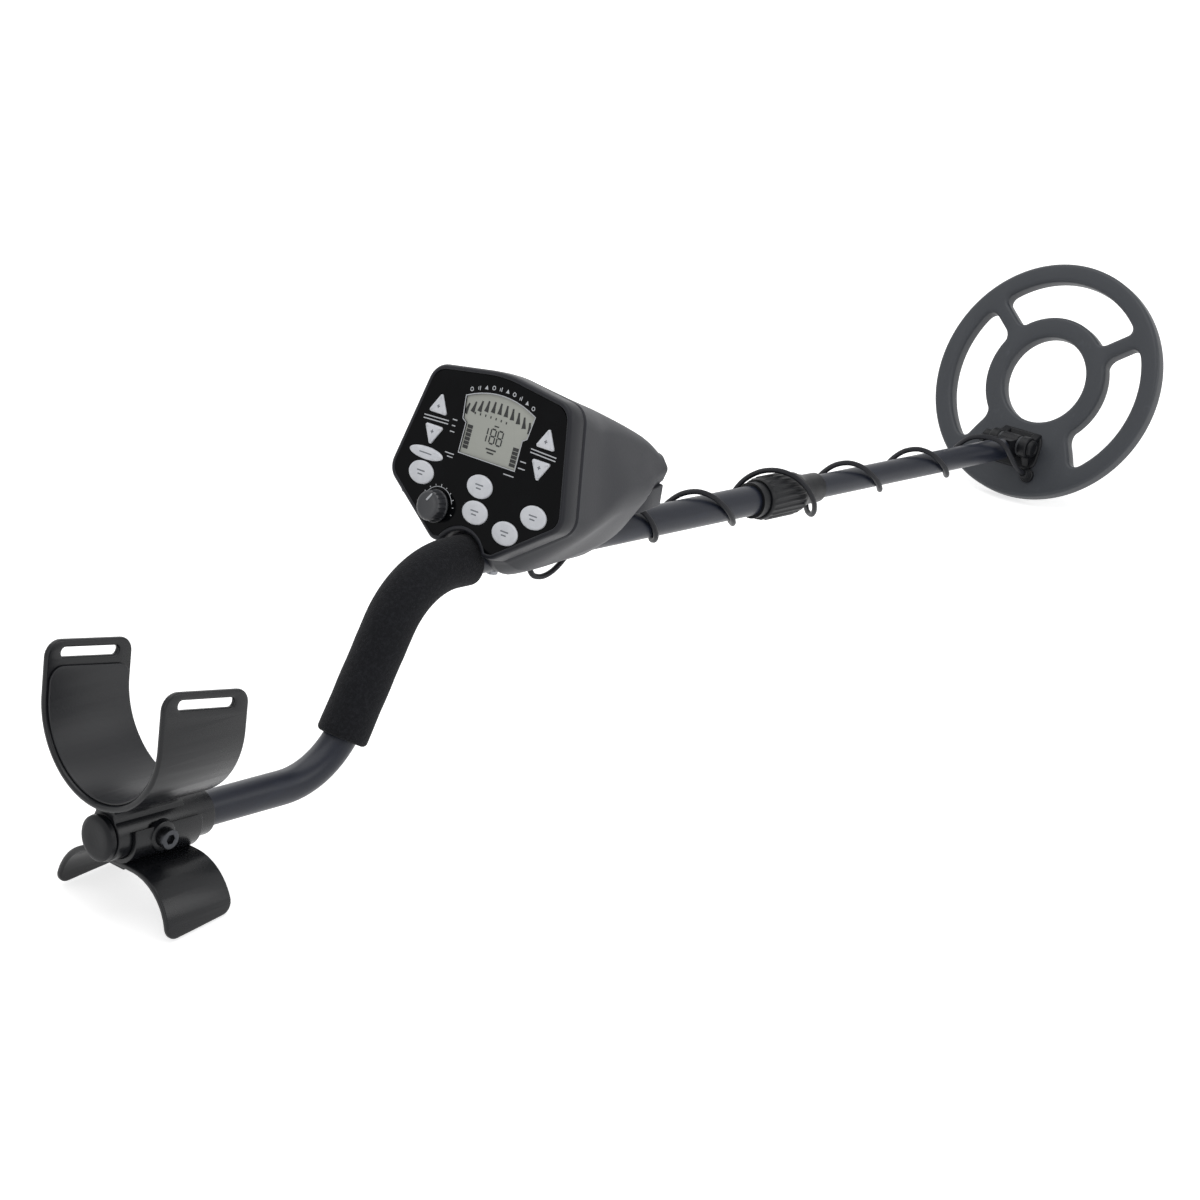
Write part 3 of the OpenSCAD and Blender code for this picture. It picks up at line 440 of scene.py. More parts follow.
def moulded(name, shade, worn, rough, grain=900, depth=0.00006, **fixed):
    """Moulded plastic: fine grain, clouded sheen, faint handling marks and pale scuffs."""
    paint = Paint(name, shade, rough, **fixed)
    cloud = paint.noise(14, 3)
    fine = paint.noise(grain, 2, 0.6)
    scuff = (paint.noise(55, 4, 0.7) * paint.streaks((1, 1, 0.25), 160, 2)).above(0.36, 0.5)
    paint.put("Base Color", paint.blend(scuff * 0.35 + cloud * 0.25, shade, worn))
    paint.put("Roughness", rough - 0.07 + cloud * 0.1 + fine * 0.06 + scuff * 0.08)
    paint.bump(fine + cloud * 0.2, depth)
    return paint.material


def satin_coat(name):
    """The tubes' coat: dark blue-grey with a fine metallic speckle and light rubbing."""
    shade, lit = colour(20, 24, 35), colour(40, 46, 62)
    paint = Paint(name, shade, 0.34, 0.0, Specular_IOR_Level=0.3)
    speck = paint.cells(1500)
    cloud = paint.noise(11, 3)
    rub = paint.streaks((0.2, 1, 1), 120).above(0.56, 0.72)
    paint.put("Base Color", paint.blend((1 - speck) * 0.35 + rub * 0.18, shade, lit))
    paint.put("Roughness", 0.29 + cloud * 0.1 + rub * 0.08)
    paint.bump(speck, 0.00003)
    return paint.material


def closed_foam(name):
    """Closed-cell foam: small open pores in a dull skin."""
    shade, dust = colour(22, 23, 26), colour(44, 45, 49)
    paint = Paint(name, shade, 0.93, 0.0, Specular_IOR_Level=0.15, Sheen_Weight=0.06, Sheen_Roughness=0.5)
    pores = paint.cells(950)
    crumbs = paint.noise(420, 4, 0.7)
    patch = paint.noise(28, 3)
    paint.put("Base Color", paint.blend(crumbs.above(0.42, 0.68) * 0.55 + patch * 0.2, shade, dust))
    paint.put("Roughness", 0.86 + crumbs * 0.12)
    paint.bump(pores.above(0.1, 0.5) + crumbs * 0.9, 0.00028, 0.9)
    return paint.material


def lining(name):
    """Thin foam sheet that lines the cuff, with a short even nap."""
    shade, lit = colour(23, 24, 27), colour(38, 39, 43)
    paint = Paint(name, shade, 0.45, 0.0, Specular_IOR_Level=0.4)
    nap = paint.noise(700, 3, 0.65)
    cloud = paint.noise(18, 3)
    paint.put("Base Color", paint.blend(nap * 0.4 + cloud * 0.2, shade, lit))
    paint.put("Roughness", 0.34 + nap * 0.12 + cloud * 0.08)
    paint.bump(nap, 0.00008)
    return paint.material


def gloss_film(name):
    """The panel's glossy film, with faint smears."""
    shade, smear = colour(6, 7, 9), colour(13, 14, 17)
    paint = Paint(name, shade, 0.12, 0.0, Specular_IOR_Level=0.07)
    touch = paint.noise(38, 4, 0.65).above(0.45, 0.7)
    paint.put("Base Color", paint.blend(touch * 0.5, shade, smear))
    paint.put("Roughness", 0.08 + touch * 0.12)
    paint.bump(paint.noise(60, 2), 0.00002)
    return paint.material


def display_glass(name):
    """The display's grey film under its window: fine rows and a slow change of tone."""
    shade, dim = colour(192, 194, 186), colour(166, 169, 163)
    paint = Paint(name, shade, 0.3, 0.0, Specular_IOR_Level=0.3)
    tone = paint.noise(16, 2)
    rows = paint.streaks((0.02, 0.02, 1), 3000, 0)
    paint.put("Base Color", paint.blend(tone * 0.55 + rows * 0.2, shade, dim))
    paint.put("Roughness", 0.22 + tone * 0.12)
    paint.bump(rows, 0.00001)
    return paint.material


def printed(name, shade, rough=0.55):
    """Thin screen-printed ink."""
    paint = Paint(name, shade, rough)
    grain = paint.noise(2200, 2)
    paint.put("Roughness", rough - 0.06 + grain * 0.12)
    paint.put("Base Color", paint.blend(grain * 0.2, shade, tuple(c * 0.85 for c in shade[:3]) + (1,)))
    return paint.material


def silver_key(name):
    """Pale silver of the keys: a fine pearl grain, duller where fingers press."""
    shade, worn = colour(238, 240, 245), colour(214, 217, 224)
    paint = Paint(name, shade, 0.36)
    pearl = paint.cells(2400)
    touch = paint.noise(120, 3).above(0.4, 0.65)
    paint.put("Base Color", paint.blend(pearl * 0.35 + touch * 0.3, shade, worn))
    paint.put("Roughness", 0.3 + pearl * 0.1 + touch * 0.1)
    paint.bump(pearl, 0.00002)
    return paint.material


def plated(name, shade, worn, rough):
    """Plated or blackened steel with fine turning marks."""
    paint = Paint(name, shade, rough, 0.9)
    marks = paint.streaks((1, 0.1, 1), 1400)
    cloud = paint.noise(90, 3)
    paint.put("Base Color", paint.blend(marks * 0.4 + cloud * 0.3, shade, worn))
    paint.put("Roughness", rough - 0.08 + marks * 0.16 + cloud * 0.08)
    paint.bump(marks, 0.00002)
    return paint.material


def wound(name):
    """Enamelled copper wire laid in turns."""
    shade, dark = colour(176, 104, 48), colour(96, 50, 22)
    paint = Paint(name, shade, 0.35, 0.85)
    inputs = {"Vector": paint.place, "Scale": 500.0}
    turns = paint.node("ShaderNodeTexWave", {"bands_direction": "Z"}, inputs, "Fac")
    paint.put("Base Color", paint.blend(turns * 0.6, shade, dark))
    paint.put("Roughness", 0.28 + turns * 0.2)
    paint.bump(turns, 0.0001)
    return paint.material


def laminate(name):
    """The circuit board's green mask with tracks under it."""
    shade, track = colour(24, 82, 48), colour(44, 118, 70)
    paint = Paint(name, shade, 0.4)
    tracks = paint.cells(260, "DISTANCE_TO_EDGE").above(0.04, 0.08)
    paint.put("Base Color", paint.blend(tracks, track, shade))
    paint.put("Roughness", 0.32 + tracks * 0.1)
    paint.bump(tracks, 0.00005)
    return paint.material


COAT = satin_coat("satin_tube_coat")
FOAM = closed_foam("closed_cell_foam")
LINING = lining("cuff_lining_foam")
CUFF = moulded("cuff_semi_gloss", colour(19, 20, 23), colour(36, 38, 43), 0.27, 700, 0.00003,
               Specular_IOR_Level=0.32)
HOUSING = moulded("housing_fine_grain", colour(41, 42, 47), colour(60, 62, 68), 0.45,
                  Specular_IOR_Level=0.22)
FRAME = moulded("frame_fine_grain", colour(31, 32, 37), colour(52, 54, 60), 0.38, Specular_IOR_Level=0.22)
COIL_SKIN = moulded("coil_satin", colour(53, 56, 61), colour(74, 77, 83), 0.44, Specular_IOR_Level=0.4)
BLACK = moulded("black_moulding", colour(17, 18, 21), colour(34, 36, 40), 0.4, Specular_IOR_Level=0.22)
KNOB = moulded("knob_moulding", colour(50, 51, 55), colour(78, 80, 84), 0.3, 600, Specular_IOR_Level=0.5)
CABLE = moulded("cable_sheath", colour(21, 22, 27), colour(44, 46, 53), 0.46, 500, 0.00008,
                Specular_IOR_Level=0.25)
RUBBER = moulded("silicone_mat", colour(58, 60, 63), colour(80, 82, 86), 0.7)
PANEL = gloss_film("panel_film")
DISPLAY = display_glass("display_film")
SEGMENTS = printed("display_segments", colour(26, 28, 28))
PRINT = printed("panel_print", colour(205, 208, 212))
KEY_PRINT = printed("key_print", colour(122, 126, 134))
SILVER = silver_key("silver_keys")
BLACK_STEEL = plated("blackened_steel", colour(48, 49, 52), colour(92, 94, 98), 0.34)
STEEL = plated("plated_steel", colour(150, 152, 156), colour(104, 106, 112), 0.3)
COPPER = wound("enamelled_copper")
BOARD = laminate("board_mask")

# ---------- camera, light and floor ----------

# The eye's place from the pole, and its turn, rise and roll about the pole's own axes
eye = POLE @ Vector((-1263.5, -1159.0, 529.0))
turn, rise, roll = radians(-51.547), radians(17.293), radians(7.249)
back_l = Vector((sin(turn) * cos(rise), -cos(turn) * cos(rise), sin(rise)))
right_l = Vector((cos(turn), sin(turn), 0))
up_l = back_l.cross(right_l)
tilted_right = right_l * cos(roll) + up_l * sin(roll)
tilted_up = up_l * cos(roll) - right_l * sin(roll)
axes = POLE.to_3x3().normalized()
camera = bpy.data.objects.new("camera", bpy.data.cameras.new("camera"))
scene.collection.objects.link(camera)
camera.matrix_world = Matrix((axes @ tilted_right, axes @ tilted_up, axes @ back_l)).transposed().to_4x4()
camera.location = eye
camera.data.sensor_width = 36
camera.data.lens = 83.775
camera.data.clip_start, camera.data.clip_end = 0.05, 50
scene.camera = camera
scene.view_settings.view_transform = "Standard"

centre = (cad_box[0] + cad_box[1]) / 2


def softbox(name, at, size, watts):
    """A rectangular lamp that looks at the object's middle."""
    data = bpy.data.lights.new(name, "AREA")
    data.shape, data.size, data.size_y = "RECTANGLE", size[0], size[1]
    data.energy = watts
    lamp = bpy.data.objects.new(name, data)
    scene.collection.objects.link(lamp)
    lamp.location = centre + Vector(at)
    lamp.rotation_euler = (-Vector(at)).to_track_quat("-Z", "Y").to_euler()


softbox("overhead", (-0.1, 0.1, 1.9), (2.4, 1.6), 17)
softbox("front_left", (-1.9, -1.2, 0.9), (1.3, 1.3), 4.5)
softbox("right_side", (0.9, -1.8, 0.9), (1.4, 1.0), 8)
softbox("behind", (0.6, 1.9, 1.1), (2.0, 1.0), 8)


def seen_white(tree):
    """1 for what the camera, a reflection or glass sees directly."""
    rays = tree.nodes.new("ShaderNodeLightPath")
    most = rays.outputs["Is Camera Ray"]
    for kind in ("Is Glossy Ray", "Is Transmission Ray"):
        larger = tree.nodes.new("ShaderNodeMath")
        larger.operation = "MAXIMUM"
        tree.links.new(most, larger.inputs[0])
        tree.links.new(rays.outputs[kind], larger.inputs[1])
        most = larger.outputs[0]
    return most


world = bpy.data.worlds.new("studio")
scene.world = world
world.use_nodes = True
sky = world.node_tree.nodes["Background"]
sky.inputs["Color"].default_value = (1, 1, 1, 1)
sky.inputs["Strength"].default_value = 0.35
white_sky = world.node_tree.nodes.new("ShaderNodeBackground")
white_sky.inputs["Color"].default_value = (1, 1, 1, 1)
white_sky.inputs["Strength"].default_value = 1.0
pick = world.node_tree.nodes.new("ShaderNodeMixShader")
world.node_tree.links.new(seen_white(world.node_tree), pick.inputs[0])
world.node_tree.links.new(sky.outputs[0], pick.inputs[1])
world.node_tree.links.new(white_sky.outputs[0], pick.inputs[2])
world.node_tree.links.new(pick.outputs[0], world.node_tree.nodes["World Output"].inputs[0])

floor_mesh = bpy.data.meshes.new("floor")
floor_mesh.from_pydata([(-6, -6, 0), (6, -6, 0), (6, 6, 0), (-6, 6, 0)], [], [(0, 1, 2, 3)])
floor = bpy.data.objects.new("floor", floor_mesh)
scene.collection.objects.link(floor)
floor.location.z = -0.0005
pale = bpy.data.materials.new("pale_floor")
pale.use_nodes = True
tree = pale.node_tree
matt = tree.nodes["Principled BSDF"]
matt.inputs["Base Color"].default_value = (0.9, 0.9, 0.9, 1)
matt.inputs["Roughness"].default_value = 0.9
matt.inputs["Specular IOR Level"].default_value = 0.1
glow = tree.nodes.new("ShaderNodeEmission")
lift = tree.nodes.new("ShaderNodeMath")
lift.operation = "MULTIPLY"
lift.inputs[1].default_value = 0.69
tree.links.new(seen_white(tree), lift.inputs[0])
tree.links.new(lift.outputs[0], glow.inputs["Strength"])
both = tree.nodes.new("ShaderNodeAddShader")
tree.links.new(matt.outputs[0], both.inputs[0])
tree.links.new(glow.outputs[0], both.inputs[1])
tree.links.new(both.outputs[0], tree.nodes["Material Output"].inputs[0])
floor_mesh.materials.append(pale)

# ---------- pole, grip and end cap ----------


def bend_points(first, last, steps=16):
    """Points round the front bend, from one angle about its centre to another."""
    return [Vector((TANGENT + BEND_R * cos(radians(a)), 0, -BEND_R + BEND_R * sin(radians(a))))
            for a in (first + (last - first) * k / steps for k in range(steps + 1))]


def down_slope(distance):
    return Vector((-distance * cos(GRIP_SLOPE), 0, -distance * sin(GRIP_SLOPE)))


FRONT_BEND = bend_points(90 + degrees(GRIP_SLOPE), 90)
REAR_BEND = [Vector((REAR_X, 0, -STEP_H)) - p for p in FRONT_BEND][::-1]


def upper_tube():
    path = [Vector((TUBE_END, 0, -STEP_H)), *REAR_BEND, *FRONT_BEND, Vector((FRONT_RUN, 0, 0))]
    Shape().swept(path, [TUBE_R] * len(path), 48, BORE_R).piece(
        "upper_tube_skin", POLE, COAT, "pole", ["upper_tube"], "tube_paint")


def foam_grip():
    """Foam sleeve over the slope and the front bend, its ends softly rounded and slightly swollen."""
    low, high = GRIP_LEN - TANGENT + 12, FACE_X + 9
    ends = [(0, 14.4), (0.5, 15.6), (1.4, 16.5), (2.8, 17)]
    path = [down_slope(low - d) for d, _ in ends]
    radii = [r for _, r in ends]
    start, steps, swell = low - ends[-1][0], 10, 0.12
    for k in range(1, steps):
        path.append(down_slope(start - (start - TANGENT) * k / steps))
        radii.append(FOAM_R - swell + swell * sin(k * 1.7))
    path += FRONT_BEND + [Vector((high, 0, 0))]
    radii += [FOAM_R] * (len(FRONT_BEND) + 1)
    grip = Shape().swept(path, radii, 64, TUBE_R + 0.1).piece(
        "foam_grip_sleeve", POLE, FOAM, "pole", ["foam_grip"], "foam")


def end_cap():
    """Blunt cap with a shallow dish, pushed into the tube."""
    profile = [(14, 8.6), (0, 8.9), (-0.2, 14.2), (-1.2, 14.5), (-3.4, 14.1), (-4.6, 12.6), (-5, 10.5),
               (-4.7, 6), (-4.6, 0.4)]
    Shape().turned([(TUBE_END + x, r) for x, r in profile], 64).piece(
        "tube_end_plug", REAR, BLACK, "pole", ["tube_end_cap"], "black_plastic")


upper_tube()
foam_grip()
end_cap()

# ---------- arm cuff and stand ----------

CUFF_MID = SLEEVE_R - STEP_H + 5 + CUFF_IN_R + CUFF_WALL
CUFF_BACK = TUBE_END - 8


def cuff_bend(r):
    """Wraps a flat sheet, drawn along X and round the arm, into the cuff's U."""
    quarter = r * pi / 2

    def where(p):
        side = 1 if p.y >= 0 else -1
        u = abs(p.y)
        if u <= quarter:
            return Vector((p.x, side * (r + p.z) * sin(u / r), CUFF_MID - (r + p.z) * cos(u / r)))
        return Vector((p.x, side * (r + p.z), CUFF_MID + u - quarter))
    return where


def tapered(back, front, half):
    """Corners of a strip from back to front; half gives half its width at a place along X."""
    return [(back, -half(back)), (front, -half(front)), (front, half(front)), (back, half(back))]


def cuff_sheet(r, thick, margin, drop, corner, slots):
    """The flat sheet of the cuff or its liner; its top edges fall towards the front."""
    quarter = r * pi / 2

    def top(x):
        return quarter + CUFF_TOP - (x - CUFF_BACK) * CUFF_FALL - CUFF_MID - drop
    back, front = CUFF_BACK + margin, CUFF_BACK + CUFF_LEN - margin
    outline = rounded(tapered(back, front, top), [corner], 8)
    mid = (back + front) / 2
    holes = []
    if slots:
        slope = degrees(atan2(CUFF_FALL, 1))
        holes = [dense(box(44, 6, (mid, side * (top(mid) - 8)), -side * slope, 2.9), 6) for side in (1, -1)]
    shape = Shape().slab([dense(outline, 6)] + holes, edge(thick * 0.42, -thick / 2, thick / 2))
    reach, strip = int(top(back)) + 1, 3.2
    cuts = [k * strip for k in range(-reach // 3, reach // 3 + 1)]
    return shape.bent(cuts, 1, cuff_bend(r))


def arm_cuff():
    r = CUFF_IN_R + CUFF_WALL / 2
    shell = cuff_sheet(r, CUFF_WALL, 0, 0, 10, True)
    shell.piece("cuff_shell", POLE, CUFF, "pole", ["arm_cuff"], "cuff_plastic")
    sleeve = [(0, 11.3), (0, 14), (0.6, 14.8), (1.6, 15), (74, 15), (75.4, 14.7), (76, 13.8), (76, 11.3)]
    Shape().turned([(TUBE_END + 1 + x, s) for x, s in sleeve], 64, loop=True).piece(
        "cuff_sleeve", REAR, CUFF, "pole", slot="cuff_plastic")
    half = [(10.5, 9.5), (8.2, 14.2), (8.6, 17.5), (12, 20), (19, 23.4)]
    neck = [(-10.5, 9.5)] + half + [(-y, z) for y, z in half[:0:-1]]
    loop = rounded(neck, [0.8, 0.8, 2, 2, 3, 1, 1, 3, 2, 2], 4)
    Shape().slab([dense(loop, 5)], edge(0.5, TUBE_END + 1.2, CUFF_BACK + CUFF_LEN - 3)).piece(
        "cuff_neck", REAR @ ACROSS, CUFF, "pole", slot="cuff_plastic")


def cuff_liner():
    r = CUFF_IN_R - 0.9
    sheet = cuff_sheet(r, 1.6, 2.5, 16, 9, False)
    liner = sheet.piece("cuff_liner_pad", POLE, LINING, "pole", ["cuff_liner"], "liner")


def stand():
    """One strap bent into two legs, with a saddle round the sleeve and bosses at the bolt."""
    leg_r, flat, strap_z, half_thick = 34, 16, -17.9, 2
    saddle_in, saddle_out = SLEEVE_R + 0.15, SLEEVE_R + 3.7
    turn_z = strap_z - leg_r

    def where(p):
        side = 1 if p.y >= 0 else -1
        u = abs(p.y) - flat
        if u <= 0:
            return Vector((p.x, p.y, strap_z + p.z))
        if u <= leg_r * pi / 2:
            r, a = leg_r + p.z, u / leg_r
            return Vector((p.x, side * (flat + r * sin(a)), turn_z + r * cos(a)))
        return Vector((p.x, side * (flat + leg_r + p.z), turn_z - u + leg_r * pi / 2))

    floor_at = POLE.inverted() @ Vector((0, 0, 0.0007))
    slope = tan(pitch)

    def sole(x):
        """How far along the strap a leg reaches the floor at x."""
        z = floor_at.z + (x - floor_at.x) * slope + STEP_H - turn_z
        return flat + (leg_r * (pi / 2 - asin(z / leg_r)) if z > 0 else leg_r * pi / 2 - z) - 0.3
    back, front = STAND_BACK, STAND_BACK + STAND_LEN
    outline = rounded(tapered(back, front, sole), [7, 9, 9, 7], 8)
    legs = Shape().slab([dense(outline, 6)], edge(1.5, -half_thick, half_thick))
    legs.bent([k * 3 for k in range(-24, 25)], 1, where).piece(
        "stand_legs", REAR, CUFF, "pole", ["stand"], "cuff_plastic")
    outer, inner = arc(saddle_out, 158, 382, 40), arc(saddle_in, 382, 158, 40)
    Shape().slab([outer + inner], edge(0.9, back, front)).piece(
        "stand_saddle", REAR @ ACROSS, CUFF, "pole", slot="cuff_plastic")
    web = [(-9, -21), (9, -21), (7, -16), (-7, -16)]
    Shape().slab([rounded(web, [1], 3)], edge(0.8, back + 0.5, front - 0.5)).piece(
        "stand_web", REAR @ ACROSS, CUFF, "pole", slot="cuff_plastic")
    bosses = Shape()
    boss = [(15.3, 10.2), (17.6, 9.6), (18.7, 9.2), (19.3, 8.2), (19.3, 3.2), (15.3, 3.2)]
    for side in (1, -1):
        bosses.turned([(side * y, s) for y, s in boss], 48, loop=True)
    bosses.piece("stand_bosses", REAR @ moved(CLAMP_X) @ AXIS_Y, CUFF, "pole", slot="cuff_plastic")


def clamp_bolt():
    """Cap screw: round head with a hexagon socket, and its shank."""
    seat, segments = 19.4, 144
    profile = [(seat + 7, 2.4), (seat + 6.4, 3), (-seat, 3), (-seat, 6.1), (-seat - 0.5, 6.4),
               (-seat - 5.2, 6.4), (-seat - 5.8, 6), (-seat - 6, 5.2)]
    socket = [(-seat - 5.9, 3.1), (-seat - 5.6, 2.8), (-seat - 2.6, 2.7)]
    angles = [2 * pi * k / segments for k in range(segments)]
    rings = [[Vector((y, r * cos(a), r * sin(a))) for a in angles] for y, r in profile]
    for y, flat in socket:
        radii = [flat / cos((a + pi / 6) % (pi / 3) - pi / 6) for a in angles]
        rings.append([Vector((y, r * cos(a), r * sin(a))) for a, r in zip(angles, radii)])
    place = REAR @ moved(CLAMP_X) @ AXIS_Y
    Shape().rings(rings).piece(
        "clamp_bolt_screw", place, BLACK_STEEL, "pole", ["clamp_bolt"], "bolt_steel")


arm_cuff()
cuff_liner()
stand()
clamp_bolt()

# ---------- control housing ----------

FACE_PLAN = FACE @ ACROSS
FACE_LOW = 8.5
FACE_SIDE = [(27, FACE_LOW), (78, 43), (60.5, 120)]
FACE_RADII = [10, 13, 15, 100, 15, 13, 10]
# The door's front edge and top as the housing is stepped back for it, and where the nose ends
DOOR_BACK, DOOR_TOP, NOSE_X = 171, 41, 206
# Places along X of the cheeks beside the door, with half their width at the top
CHEEK_WIDTHS = ((161, 39), (171.5, 43.4), (190, 39.8), (202, 36.6), (203.4, 36.1), (204, 35.2))


def face_outline():
    """The outline from the right low corner round to the left one, then back over the notch."""
    corners = FACE_SIDE + [(0, 128)] + [(-y, s) for y, s in FACE_SIDE[::-1]]
    outline = rounded(corners, FACE_RADII, 8)
    made = []
    for p, q in zip(outline, outline[1:]):
        parts = max(1, int((q - p).length / 6))
        made += [p.lerp(q, k / parts) for k in range(parts)]
    half = degrees(asin(FACE_LOW / NOTCH_R))
    return made + [outline[-1]] + arc(NOTCH_R, 180 - half, half, 24)


def face_frame():
    """Frame round the panel: rounded outer edge, a narrow lip, and a groove behind it."""
    loop = facing(face_outline(), True)
    section = [(0.9, FRAME_D), (0.9, FRAME_D - 1.1), (0.25, FRAME_D - 1.6), (0, FRAME_D - 2.2), (0, 2.6),
               (0.2, 1.5), (0.75, 0.6), (1.6, 0.1), (2.4, 0), (2.9, 0.05), (3.25, 0.3), (LIP_W, 0.8),
               (LIP_W, 3), (3.6, FRAME_D)]
    Shape().rings([[Vector((h, p.x, p.y)) for p in inset(loop, d)] for d, h in section], True).piece(
        "face_frame_rim", FACE, FRAME, "pole", ["face_frame"], "housing_plastic")


def smooth_through(sections, steps):
    """Rings between the given ones, on smooth curves through their points."""
    made = []
    last = len(sections) - 1
    for i in range(last):
        a, b, c, d = (sections[min(max(k, 0), last)] for k in (i - 1, i, i + 1, i + 2))
        for s in range(steps):
            t = s / steps
            made.append([(p1 * 2 + (p2 - p0) * t + (p0 * 2 - p1 * 5 + p2 * 4 - p3) * t * t
                          + (p1 * 3 - p0 - p2 * 3 + p3) * t ** 3) / 2 for p0, p1, p2, p3 in zip(a, b, c, d)])
    return made + [sections[-1]]


def body_corners(lip, low, side, top, crown):
    """The nine corners of one section from the right lip round over the crown to the left lip."""
    right = [lip, low, side, top]
    return right + [crown] + [(-y, z) for y, z in right[::-1]]


def drawn_in(corners, share, middle):
    """A section drawn in towards a height on its middle line."""
    return [(y * share, middle + (z - middle) * share) for y, z in corners]


def body_ring(corners, radii, x, place=Matrix()):
    points = rounded(corners, radii + radii[-2::-1], 6)
    return [place @ Vector((x, p.x, p.y)) for p in points]


def body_sections():
    """Rings from the frame's back to the rounded nose; those by the frame lean with the face."""
    lean = moved(FACE_X) @ turned(FACE_LEAN)
    face = body_corners((15, 6), *FACE_SIDE, (0, 127.6))
    shoulder = body_corners((15, -2), (31, 5.5), (75.5, 44), (54, 118.2), (0, 123.6))
    middle = body_corners((14, -9), (37, 5), (67.5, 46), (42, 99.5), (0, 102))
    front = body_corners((14, -4), (31, 10), (55, 44), (35, 84), (0, 86.5))
    chin = body_corners((13, 26), (31.5, 29), (42, 49), (32, 72.5), (0, 74.5))
    nose = body_corners((13, 40.8), (32, 41.2), (36, 52), (29, 61), (0, 62))
    face_radii = [1.5, 9, 13, 15, 90]
    smooth = smooth_through([
        body_ring(face, face_radii, FRAME_D + 1.2, lean),
        body_ring(shoulder, [1.5, 14, 17, 20, 90], FRAME_D + 22, lean),
        body_ring(middle, [1.5, 18, 20, 20, 90], 128),
        body_ring(front, [1.5, 16, 17, 18, 90], 166),
        body_ring(chin, [1.5, 7, 10, 13, 90], 190),
        body_ring(nose, [1.2, 4, 5, 8, 90], NOSE_X)], 6)
    for share, past in ((0.985, 1.8), (0.95, 2.8), (0.9, 3)):
        smooth.append(body_ring(drawn_in(nose, share, 51), [1.1, 3.6, 4.5, 7, 80], NOSE_X + past))
    return [body_ring(drawn_in(face, 0.985, 66), face_radii, FRAME_D, lean)] + smooth


def cut_away(made, cutter):
    """Takes a cutter's room out of a piece."""
    modifier = made.modifiers.new("cut", "BOOLEAN")
    modifier.operation, modifier.solver, modifier.object = "DIFFERENCE", "EXACT", cutter
    graph = bpy.context.evaluated_depsgraph_get()
    mesh = bpy.data.meshes.new_from_object(made.evaluated_get(graph))
    made.modifiers.clear()
    made.data = mesh
    bpy.data.objects.remove(cutter)
    mesh.set_sharp_from_angle(angle=CREASE)


def room(w, h, at, back, front):
    """A box of air, to be cut out of the housing."""
    return Shape().slab([box(w, h, at)], [(0, back), (0, front)]).piece("room", POLE @ ACROSS, HOUSING)


def door_cheeks():
    """Two blocks that carry the housing's sides down past the battery door."""
    low, high = 26.4, DOOR_TOP + 0.4
    cheeks = Shape()
    for side in (1, -1):
        rings = []
        for x, out in CHEEK_WIDTHS:
            cheek = [(25.9, low), (out - 0.6, low + 0.4), (out, high), (31.8, high)]
            loop = rounded([(side * y, z) for y, z in cheek], [0.8], 3)
            rings.append([Vector((p.x, p.y, x)) for p in loop])
        cheeks.rings(rings)
    cheeks.piece("door_cheeks", POLE @ ACROSS, HOUSING, "pole", slot="housing_plastic")


def housing_body():
    """Rear shell, stepped back over the battery door and open where the batteries go in."""
    shell = Shape().rings(body_sections()).piece(
        "housing_body", POLE, HOUSING, "pole", ["housing_shell"], "housing_plastic")
    cut_away(shell, room(170, 70, (0, DOOR_TOP - 35), DOOR_BACK, NOSE_X + 8))
    cut_away(shell, room(57.6, 25, (0, 27.7), 113.8, DOOR_BACK + 1))
    Shape().slab([box(24, 7.4, (0, 14), 0, 0.8)], edge(0.7, DOOR_BACK - 1, DOOR_BACK + 19)).piece(
        "door_rail", POLE @ ACROSS, HOUSING, "pole", slot="housing_plastic")
    door_cheeks()


def battery_door():
    """Sliding door: rounded block with finger ridges on its front end."""
    front = 202
    outline = rounded([(-21.8, 18.2), (21.8, 18.2), (30.8, 40.5), (-30.8, 40.5)], [2, 2, 1, 1], 5)
    shape = Shape().slab([dense(outline, 4)], edge(1.4, DOOR_BACK + 1.2, front, 4, 0.6))
    for k in range(4):
        shape.slab([box(17, 0.9, (0, 22 + 3.4 * k), 0, 0.4)], edge(0.35, front - 0.2, front + 0.5, 3))
    shape.piece(
        "battery_door_cover", POLE @ ACROSS, HOUSING, "battery_door", ["battery_door"], "housing_plastic")


face_frame()
housing_body()
battery_door()

# ---------- keys, knob, display and print ----------

OVAL, BAR, ARROW = (11, 7.7), (15, 4.2), (17, 14)
KEYS = {
    "mode_up": ((47.5, 88.5), "up"), "mode_down": ((47.5, 80.5), "down"),
    "tune_up": ((-47.5, 88.5), "up"), "tune_down": ((-47.5, 80.5), "down"),
    "notch": ((48.5, 61.1), "bar"), "power": ((48.5, 48), "oval"),
    "pinpoint": ((-3.2, 51.7), "oval"), "tone": ((-4.8, 34.6), "oval"),
    "accept": ((-52.8, 44.3), "oval"), "reject": ((-33.3, 28.4), "oval")}
KNOB_AT = (28.5, 30)


def key_outline(kind):
    if kind == "oval":
        return ellipse(*OVAL, n=56)
    if kind == "bar":
        return ellipse(*BAR, n=56)
    side = 1 if kind == "up" else -1
    half = ARROW[0] / 2
    return dense(rounded([(-side * half, 0), (side * half, 0), (0, side * ARROW[1])], [1.3], 5), 3)


def key_marks(kind):
    """Small plain marks, no lettering."""
    if kind == "oval":
        return [box(7, 0.9, (0, 1.1), 0, 0.3), box(4.4, 0.9, (0, -1.3), 0, 0.3)]
    if kind == "bar":
        return [box(11, 0.8, (0, 0), 0, 0.3)]
    side = 1 if kind == "up" else -1
    return [box(2.6, 0.8, (0, side * 4.6), 0, 0.3), box(0.8, 2.6, (0, side * 4.6), 0, 0.3)]


